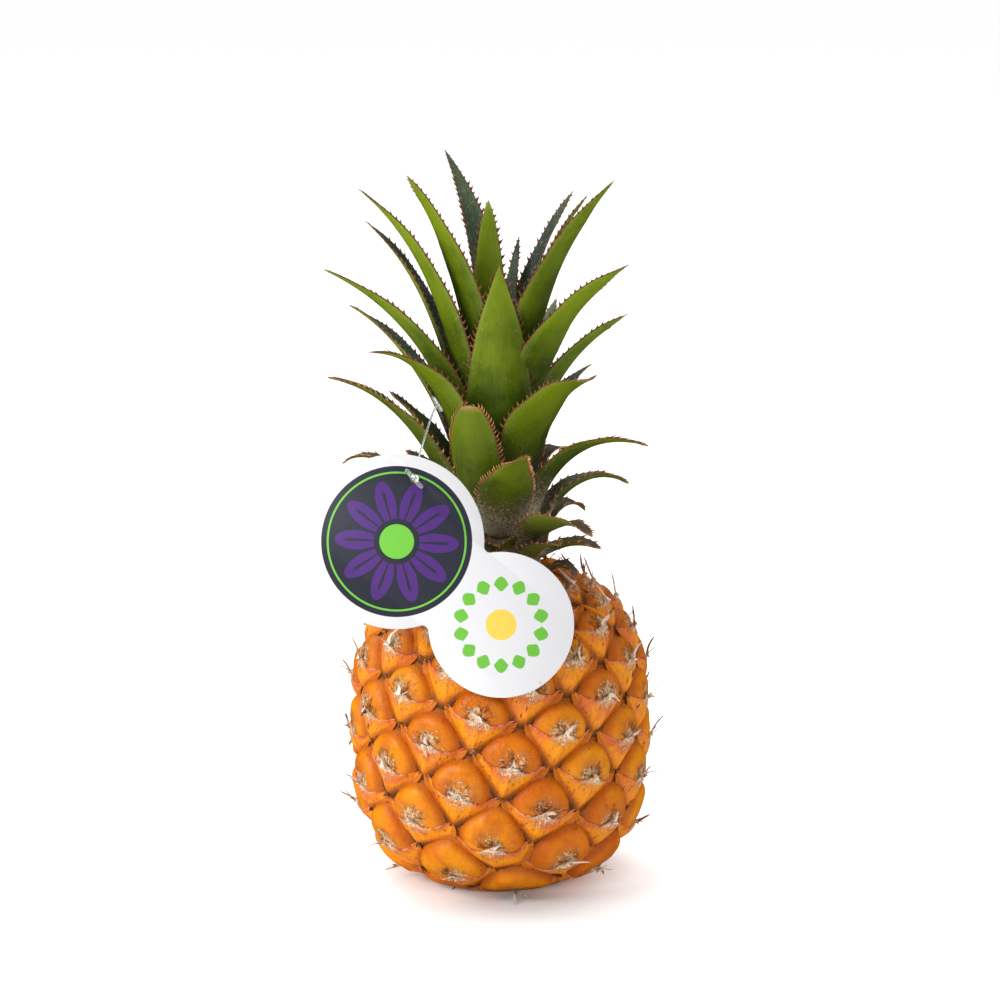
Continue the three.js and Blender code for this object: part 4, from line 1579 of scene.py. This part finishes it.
# ---- Finishes --------------------------------------------------------------------------------------
@dataclass(frozen=True)
class DomeFinish:
    """The shiny orange upper half of an eye, with silvery scurf round its dry tip and painted shade in its
    grooves and corners.
    """

    gold: Paint = paint(226, 138, 0)
    flesh: Paint = paint(215, 115, 0)
    deep: Paint = paint(184, 84, 0)
    blush: Paint = paint(196, 108, 30)
    # painted shade: rim darkens a dome where it slopes into the groove, groove darkens the groove, pit
    # darkens the corners between cells
    rim: Paint = paint(182, 86, 2)
    groove: Paint = paint(146, 68, 4)
    pit: Paint = paint(34, 32, 12)
    scurf: Paint = paint(232, 206, 166)
    fleck: Paint = paint(78, 40, 16)

    def material(self) -> bpy.types.Material:
        """Mixes the finish.

        Returns:
            The material.
        """
        shader = Shader("dome_skin")
        x, y, seed = shader.attributes("eye_x", "eye_y", "eye_seed")
        edge, corner = shader.attributes("eye_edge", "eye_corner")
        above = y - TIP_PLACE
        reach = (x * x + above**2) ** 0.5
        ripe = shader.noise(34, 2) + seed * 0.3 - 0.15
        mottle = shader.noise(150, 5, rough=0.6)
        blush = (mottle + shader.noise(420, 3) * 0.5).rise(0.6, 0.9) * reach.fall(2.5, 9.0)
        grain = shader.noise(1300, 4, rough=0.65)
        density = reach.fall(1.0, 7.5) * shader.noise(190, 2).rise(0.25, 0.65)
        scurf = (grain + density * 0.27 + 0.03).rise(0.66, 0.77) * reach.fall(5.0, 11.0)
        rays = shader.streaks(x.maths(Op.ARCTAN2, above) * 3.4, reach * 0.35, seed * 30)
        wrinkle = rays.rise(0.46, 0.62) * reach.fall(2.2, 6.0) * shader.noise(300, 2).rise(0.28, 0.52)
        fleck = (shader.noise(620, 3) + reach.fall(1.0, 5.0) * 0.12).rise(0.67, 0.76)
        rough = 0.24 + 0.16 * mottle + 0.45 * scurf + 0.2 * edge.fall(0.2, 1.2)
        relief = shader.noise(240, 4, rough=0.6) * 1.6 + grain * 0.25 + scurf * 0.4
        relief = relief - wrinkle * 0.7 - fleck * 0.2
        colour = shader.coated(
            shader.mix(ripe.rise(0.3, 0.66), self.gold, self.flesh),
            ((mottle + ripe * 0.4).rise(0.6, 0.95) * 0.8, self.deep),
            (blush * 0.6, self.blush),
            # Painted shade: darker from each dome's rim down into its groove, darkest in the corners between
            # cells.
            (edge.fall(0.1, 1.7) * 0.7, self.rim),
            (edge.fall(-0.6, 0.35) * 0.85, self.groove),
            (corner.fall(0.6, 2.4) * edge.fall(-0.8, 0.3), self.pit),
            (wrinkle * 0.85, self.fleck),
            (fleck * 0.6, self.fleck),
            (scurf * 0.7, self.scurf),
        )
        return shader.finish(colour, rough, shader.bump(relief, 0.5), Specular_IOR_Level=0.27)


@dataclass(frozen=True)
class BractFinish:
    """The matt lower half of an eye: fleshy and pink-orange, red along its margin, with painted shade at its
    foot and upper corners.
    """

    flesh: Paint = paint(238, 144, 8)
    pink: Paint = paint(224, 116, 48)
    margin: Paint = paint(186, 62, 50)
    silver: Paint = paint(232, 204, 172)
    # painted shade: low darkens the bract where it sinks into the groove, pit its foot and upper corners
    low: Paint = paint(184, 88, 8)
    pit: Paint = paint(46, 38, 16)
    vein: Paint = paint(128, 56, 22)
    slit: Paint = paint(66, 32, 14)

    def material(self) -> bpy.types.Material:
        """Mixes the finish.

        Returns:
            The material.
        """
        shader = Shader("bract_skin")
        a, b, x, y, seed = shader.attributes("bract_a", "bract_b", "eye_x", "eye_y", "eye_seed")
        streaks = shader.streaks(a * 11, b * 1.5, seed * 40, detail=4)
        pinker = shader.noise(190, 4) + b * 0.2 + a.size() * 0.12 + seed * 0.16 - 0.26
        slits = shader.streaks(a * 26, b * 3.2, seed * 70 + 5, detail=2, rough=0.5).rise(0.66, 0.73)
        # Where the painted shade is darkest: the bract's foot and its upper corners.
        foot = b.fall(-0.14, 0.1) * a.size().fall(0.2, 0.5)
        corner = a.size().rise(0.9, 1.0) * b.rise(0.55, 0.9)
        middle = a.size().fall(0.1, 0.45)
        broken = shader.noise(330, 2).rise(0.3, 0.55)
        rim = b.rise(0.93, 0.99) * shader.noise(420, 2).rise(0.4, 0.6)
        tip = b.rise(0.75, 0.99) * middle * 0.65
        near = (x * x + (y - TIP_PLACE) ** 2) ** 0.5
        scurf = (shader.noise(1300, 4, rough=0.65) + near.fall(0.5, 7.5) * 0.26).rise(0.66, 0.76)
        rough = 0.42 + 0.12 * streaks + 0.25 * scurf
        relief = streaks * 0.8 + shader.noise(800, 3) * 0.3 + scurf * 0.4 - slits
        colour = shader.coated(
            shader.mix(pinker.rise(0.4, 0.62), self.flesh, self.pink),
            (streaks.rise(0.54, 0.72) * 0.5, self.vein),
            (slits * b.fall(0.6, 0.95) * 0.8, self.slit),
            # Painted shade, darker towards the foot and darkest at the foot and upper corners.
            (b.fall(-0.05, 0.3) * 0.8, self.low),
            (foot.maths(Op.MAXIMUM, corner) * 0.85, self.pit),
            (b.rise(0.84, 0.99) * (1 - middle) * broken * 0.7, self.margin),
            ((rim * 0.35).maths(Op.MAXIMUM, tip), self.silver),
            (scurf * 0.75, self.silver),
        )
        return shader.finish(colour, rough, shader.bump(relief, 0.7), Specular_IOR_Level=0.25)


@dataclass(frozen=True)
class TipFinish:
    """The dry, papery tips."""

    paper: Paint = paint(244, 226, 208)
    straw: Paint = paint(212, 164, 122)
    brown: Paint = paint(112, 66, 38)

    def material(self) -> bpy.types.Material:
        """Mixes the finish.

        Returns:
            The material.
        """
        shader = Shader("dry_tip")
        t, x, seed = shader.attributes("tip_t", "tip_x", "tip_seed")
        blotches = shader.noise(420, 4)
        scorched = (t * 0.4 + blotches * 0.7 + seed * 0.5).rise(0.8, 1.05)
        fibres = shader.streaks(x * 4, t * 1.5, seed * 50)
        colour = shader.coated(
            shader.mix((blotches + seed * 0.5 - 0.35).rise(0.4, 0.75), self.paper, self.straw),
            (scorched * 0.85, self.brown),
            (fibres.rise(0.55, 0.75) * 0.4, self.straw),
        )
        return shader.finish(colour, 0.8, shader.bump(fibres, 0.3), Specular_IOR_Level=0.2)


@dataclass(frozen=True)
class LeafFinish:
    """The blades of the crown: satin green outside, slate with scurf inside, brown at margins and bases;
    painted shade towards the bases, painted light towards the tips.
    """

    bright: Paint = paint(104, 124, 3)
    green: Paint = paint(60, 82, 1)
    # dark also paints shade towards the bases; light paints light on the upper blades
    dark: Paint = paint(22, 30, 4)
    light: Paint = paint(138, 158, 8)
    pale: Paint = paint(150, 164, 60)
    grey: Paint = paint(100, 118, 82)
    slate: Paint = paint(42, 56, 46)
    base: Paint = paint(134, 104, 60)
    wilted: Paint = paint(104, 88, 70)
    scurf: Paint = paint(194, 190, 168)
    margin: Paint = paint(104, 62, 32)
    young_spine: Paint = paint(120, 58, 44)
    spine_root: Paint = paint(150, 82, 44)
    spine_tip: Paint = paint(226, 178, 120)
    dry: Paint = paint(160, 122, 72)

    def material(self) -> bpy.types.Material:
        """Mixes the finish.

        Returns:
            The material.
        """
        shader = Shader("leaf_blade")
        s, x, mm, inner = shader.attributes("leaf_s", "leaf_x", "leaf_mm", "leaf_inner")
        spine, age, seed = shader.attributes("leaf_spine", "leaf_age", "leaf_seed")
        lines = shader.streaks(x * 14, mm * 0.09, seed * 60)
        cloud = shader.noise(70, 3)
        mottle = shader.noise(330, 4)
        fresh = (cloud + lines * 0.3 + seed * 0.2 + mottle * 0.3).rise(0.6, 1.1)
        within = shader.mix((cloud + lines * 0.4 + seed * 0.3).rise(0.5, 1.1), self.grey, self.slate)
        # Painted shade towards each leaf's base, where the leaves overlap; older leaves are a little darker
        # overall.
        deep = (s.fall(0.08, 0.66) * 0.88).maths(Op.MAXIMUM, age.rise(0.4, 0.6) * 0.36)
        wilt = (age + 0.12 * cloud).rise(0.68, 0.92) * (0.25 + 0.6 * inner)
        low = s.fall(0.02, 0.4) * (age + 0.15 * lines).rise(0.35, 0.75)
        grain = shader.noise(1500, 4, rough=0.7)
        density = 0.07 + 0.2 * low + 0.06 * inner + 0.04 * x.size().rise(0.4, 1.0) + 0.05 * s.fall(0.15, 0.6)
        scurf = (grain + density).rise(0.71, 0.78)
        dry = (s + 0.06 * lines).rise(0.965, 1.03) * (0.25 + age.rise(0.3, 0.75))
        old = (age + 0.1 * cloud).rise(0.5, 0.66)
        horn = shader.mix(spine.rise(0.25, 0.85), self.spine_root, self.spine_tip)
        horn = shader.mix(old.maths(Op.MAXIMUM, spine.rise(0.5, 1.0) * 0.5), self.young_spine, horn)
        rough = 0.32 + 0.12 * lines + 0.3 * scurf + 0.15 * inner
        relief = lines * 0.5 + scurf * 0.4
        colour = shader.coated(
            shader.mix(fresh, self.green, self.bright),
            # Painted light, lighter towards each tip.
            (s.rise(0.45, 0.9) * 0.36, self.light),
            (x.size().rise(0.66, 0.98) * s.rise(0.1, 0.5) * 0.25, self.pale),
            (shader.noise(620, 5, rough=0.7).rise(0.48, 0.8) * 0.26, self.dark),
            (inner, within),
            # Painted shade towards the base.
            (deep, self.dark),
            (wilt, self.wilted),
            (low * 0.85, self.base),
            (scurf * (0.5 + 0.1 * low), self.scurf),
            (x.size().rise(0.975, 0.995) * 0.6, self.margin),
            (dry, self.dry),
            (spine.rise(0.0, 0.05), horn),
        )
        return shader.finish(colour, rough, shader.bump(relief, 0.2), Specular_IOR_Level=0.28)


@dataclass(frozen=True)
class CardFinish:
    """White card with a plain flower on its big disc and a wreath of leaves on the other."""

    white: Paint = paint(222, 222, 225)
    slate: Paint = paint(46, 48, 60)
    violet: Paint = paint(80, 43, 121)
    green: Paint = paint(111, 190, 64)
    yellow: Paint = paint(244, 206, 84)
    printed: float = 20.7
    soft: float = 0.08  # half the softness of an edge, of a ring's and of a line's
    ring_soft: float = 0.05
    line_soft: float = 0.03
    petals: int = 10
    petal_root: float = 8.0
    petal_reach: float = 9.0
    inner_ring: float = 6.25
    centre: float = 4.75
    outer_ring: float = 18.9
    line_half: float = 0.27
    leaves: int = 14
    wreath_radius: float = 11.2
    leaf_reach: float = 2.9
    leaf_start: float = 0.9
    dot: float = 4.25

    @staticmethod
    def inside(distance: Value, limit: float, soft: float) -> Value:
        """1 where a distance is under a limit, with a soft edge."""
        return distance.fall(limit - soft, limit + soft)

    def material(self, spacing: float) -> bpy.types.Material:
        """Mixes the finish.

        Args:
            spacing: Distance between the centres of the two discs.

        Returns:
            The material.
        """
        shader = Shader("tag_print")
        x, y, front = shader.attributes("tag_x", "tag_y", "tag_front")
        big = self.flower(shader, x, y)
        small = self.wreath(shader, x - spacing, y)
        printed = self.inside((x * x + y * y) ** 0.5, self.printed, self.soft) * front
        colour = shader.mix(printed, shader.mix(front, self.white, small), big)
        fibres = shader.noise(1400, 4)
        return shader.finish(colour, 0.42 + 0.12 * fibres, shader.bump(fibres, 0.03), Specular_IOR_Level=0.3)

    @staticmethod
    def rosette(x: Value, y: Value, count: int) -> tuple[Value, Value]:
        """The distance from a middle, and a wave of 0 to 1 that peaks this many times round it."""
        wave = (y.maths(Op.ARCTAN2, x) * (count / 2)).maths(Op.COSINE).size()
        return (x * x + y * y) ** 0.5, wave

    def flower(self, shader: Shader, x: Value, y: Value) -> Value:
        """Draws violet petals round a green centre on slate.

        Args:
            shader: The card's shader.
            x: Place from the disc's middle, one way.
            y: The other way.

        Returns:
            The colour.
        """
        radius, wave = self.rosette(x, y, self.petals)
        petal = self.inside(radius - wave * self.petal_reach, self.petal_root, self.soft)
        petal = petal * wave.rise(0.22, 0.26)
        vein = wave.rise(0.985, 0.99) * radius.fall(13, 15)
        return shader.coated(
            self.slate,
            (petal * (1 - vein), self.violet),
            (self.inside(radius, self.inner_ring, self.ring_soft), self.slate),
            (self.inside(radius, self.centre, self.ring_soft), self.green),
            (self.inside((radius - self.outer_ring).size(), self.line_half, self.line_soft), self.green),
        )

    def wreath(self, shader: Shader, x: Value, y: Value) -> Value:
        """Draws green leaves in a ring round a yellow dot on white.

        Args:
            shader: The card's shader.
            x: Place from the disc's middle, one way.
            y: The other way.

        Returns:
            The colour.
        """
        radius, wave = self.rosette(x, y, self.leaves)
        away = (radius - self.wreath_radius).size() + self.leaf_start
        leaves = self.inside(away - wave * self.leaf_reach, 0.0, self.soft)
        dot = self.inside(radius, self.dot, self.ring_soft)
        return shader.coated(self.white, (leaves, self.green), (dot, self.yellow))


@dataclass(frozen=True)
class PlasticFinish:
    """The clear plastic of the fastener."""

    clear: Paint = (0.93, 0.95, 0.96, 1.0)

    def material(self) -> bpy.types.Material:
        """Mixes the finish.

        Returns:
            The material.
        """
        shader = Shader("clear_plastic")
        haze = shader.noise(500, 2)
        return shader.finish(self.clear, 0.12 + 0.12 * haze, None, Transmission_Weight=0.85, IOR=1.46)


@dataclass(frozen=True)
class FibreFinish:
    """The woody fibres of the crown's stem and of the cut stalk."""

    name: str
    light: Paint = paint(196, 168, 116)
    dark: Paint = paint(120, 92, 58)

    def material(self) -> bpy.types.Material:
        """Mixes the finish.

        Returns:
            The material.
        """
        shader = Shader(self.name)
        fibres = shader.noise(600, 5, rough=0.7)
        colour = shader.mix(fibres.rise(0.35, 0.7), self.light, self.dark)
        return shader.finish(colour, 0.8 + 0.1 * fibres, shader.bump(fibres, 0.4))


@dataclass(frozen=True)
class Wood:
    """The stem of the crown and the stub of the stalk, which keep their solids."""

    finishes: tuple[tuple[str, str], ...] = (("stalk", "stalk_fibre"), ("crown_stem", "stem_fibre"))

    def dress(self, frame: dict) -> None:
        """Gives both solids their fibres.

        Args:
            frame: The loaded frame.
        """
        for node, name in self.finishes:
            mesh = frame["nodes"][node].data
            mesh.materials.clear()
            mesh.materials.append(FibreFinish(name).material())
            LOG.info("%s: %s", node, name)


# ---- Studio ----------------------------------------------------------------------------------------
@dataclass(frozen=True)
class Lamp:
    """A soft square lamp: its place and size in metres and its power in watts."""

    name: str
    place: Place
    size: float
    power: float

    def hang(self, aim: Vector) -> None:
        """Hangs the lamp so that it faces a place.

        Args:
            aim: The place, in metres.
        """
        lamp = bpy.data.lights.new(self.name, "AREA")
        lamp.energy, lamp.size = self.power, self.size
        light = bpy.data.objects.new(self.name, lamp)
        light.location = self.place
        light.rotation_euler = (aim - Vector(self.place)).to_track_quat("-Z", "Y").to_euler()
        bpy.context.scene.collection.objects.link(light)


@dataclass(frozen=True)
class Studio:
    """A pale, glowing floor with a painted shadow round the fruit, soft light and the camera.

    The lamps and the camera are placed in metres, the floor and its shade in millimetres.
    """

    lamps: tuple[Lamp, ...] = (
        Lamp("key", (-1.4, -0.75, 0.95), 0.8, 24.0),
        Lamp("back", (-0.4, 0.9, 1.5), 0.9, 12.0),
        Lamp("fill", (1.1, -1.1, 0.8), 0.7, 1.5),
    )
    horizon: float = 0.22  # strength of the sky there and overhead
    zenith: float = 1.12
    camera_distance: float = 0.9
    camera_elevation: float = 12.43
    aim_height: float = 0.101
    lens: float = 113.68
    sensor: float = 36.0
    shift: float = 0.0305
    clip: Span = (0.05, 50.0)
    floor_reach: float = 7000.0
    floor_columns: int = 64
    floor_rings: int = 24
    floor_rough: float = 0.4
    fine_reach: float = 62.0  # the floor has fine rings out to here
    # painted light: the floor glows, lifting itself to white and lighting the fruit from below
    glow: float = 0.49
    pale: Paint = paint(234, 234, 234)
    cool: Paint = paint(226, 234, 238)  # a painted cool tint in the painted shadow, against the warm light that the skin throws there
    dark: Paint = (0.0, 0.0, 0.0, 1.0)
    white: Paint = (1.0, 1.0, 1.0, 1.0)
    shade: Span = (16.0, 40.0)  # a painted shadow round the foot: the floor starts to glow at the first radius, and glows in full at the other
    pool: Span = (5.0, 28.0)  # the same for the deeper painted shadow in front
    pool_x: float = 6.0
    pool_y: float = -32.0
    pool_width: float = 1.6  # its width over its depth

    def floor(self) -> None:
        """Lays the floor, whose glow fades and whose colour cools in a painted shadow round the fruit."""
        reach = np.append(self.floor_reach, self.fine_reach * np.linspace(1, 0.01, self.floor_rings))
        points = polar(reach[:, None], round_angles(self.floor_columns), 0.0)
        x, y = points[..., 0], points[..., 1]
        # Painted shadow: the floor's glow fades near the foot and in a pool in front of it.
        away = np.hypot(x, y), np.hypot((x - self.pool_x) / self.pool_width, y - self.pool_y)
        shares = [(r - near) / (far - near) for r, (near, far) in zip(away, (self.shade, self.pool))]
        parts = MeshParts()
        parts.grid(points, closed=True, floor_lit=np.clip(np.minimum(*shares), 0, 1))
        mesh = parts.mesh("floor")
        floor = bpy.data.objects.new("floor", mesh)
        bpy.context.scene.collection.objects.link(floor)
        shader = Shader("studio_floor")
        (lit,) = shader.attributes("floor_lit")
        # In the painted shadow the floor turns cool and its glow dims.
        mesh.materials.append(shader.finish(
            shader.mix(lit, self.cool, self.pale), self.floor_rough, None, Specular_IOR_Level=0.3,
            Emission_Strength=self.glow, Emission_Color=shader.mix(lit, self.dark, self.white)))
        floor.visible_glossy = False

    def lights(self) -> None:
        """Lights the sky and hangs the lamps."""
        sky = Shader("studio_sky", world=True)
        direction = sky.node("ShaderNodeTexCoord", "Generated")
        height = sky.node("ShaderNodeSeparateXYZ", "Z", None, {0: direction})
        inputs = {"Value": height, "To Min": self.horizon, "To Max": self.zenith}
        sky.feed(sky.surface.inputs["Strength"], sky.node("ShaderNodeMapRange", 0, None, inputs))
        sky.feed(sky.surface.inputs["Color"], self.white)
        bpy.context.scene.world = sky.block
        sky.block.cycles_visibility.glossy = False  # only the lamps shine in the glossy skin
        for lamp in self.lamps:
            lamp.hang(Vector((0, 0, self.aim_height)))

    def camera(self) -> None:
        """Sets up the camera."""
        made = bpy.data.cameras.new("camera")
        made.lens, made.sensor_width, made.shift_y = self.lens, self.sensor, self.shift
        made.clip_start, made.clip_end = self.clip
        camera = bpy.data.objects.new("camera", made)
        elevation = math.radians(self.camera_elevation)
        back, up = self.camera_distance * math.cos(elevation), self.camera_distance * math.sin(elevation)
        camera.location = (0.0, -back, self.aim_height + up)
        camera.rotation_euler = (math.pi / 2 - elevation, 0.0, 0.0)
        bpy.context.scene.collection.objects.link(camera)
        bpy.context.scene.camera = camera
        bpy.context.scene.view_settings.view_transform = "Standard"


# ---- Assembly --------------------------------------------------------------------------------------
def main() -> None:
    """Builds the part over its frame."""
    logging.basicConfig(level=logging.INFO, format="%(message)s")
    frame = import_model()
    studio = Studio()
    studio.camera()
    Fruit().build()
    Crown().build()
    SwingTag().build()
    Wood().dress(frame)
    studio.floor()
    studio.lights()
    bpy.context.view_layer.update()


if __name__ == "__main__":
    main()
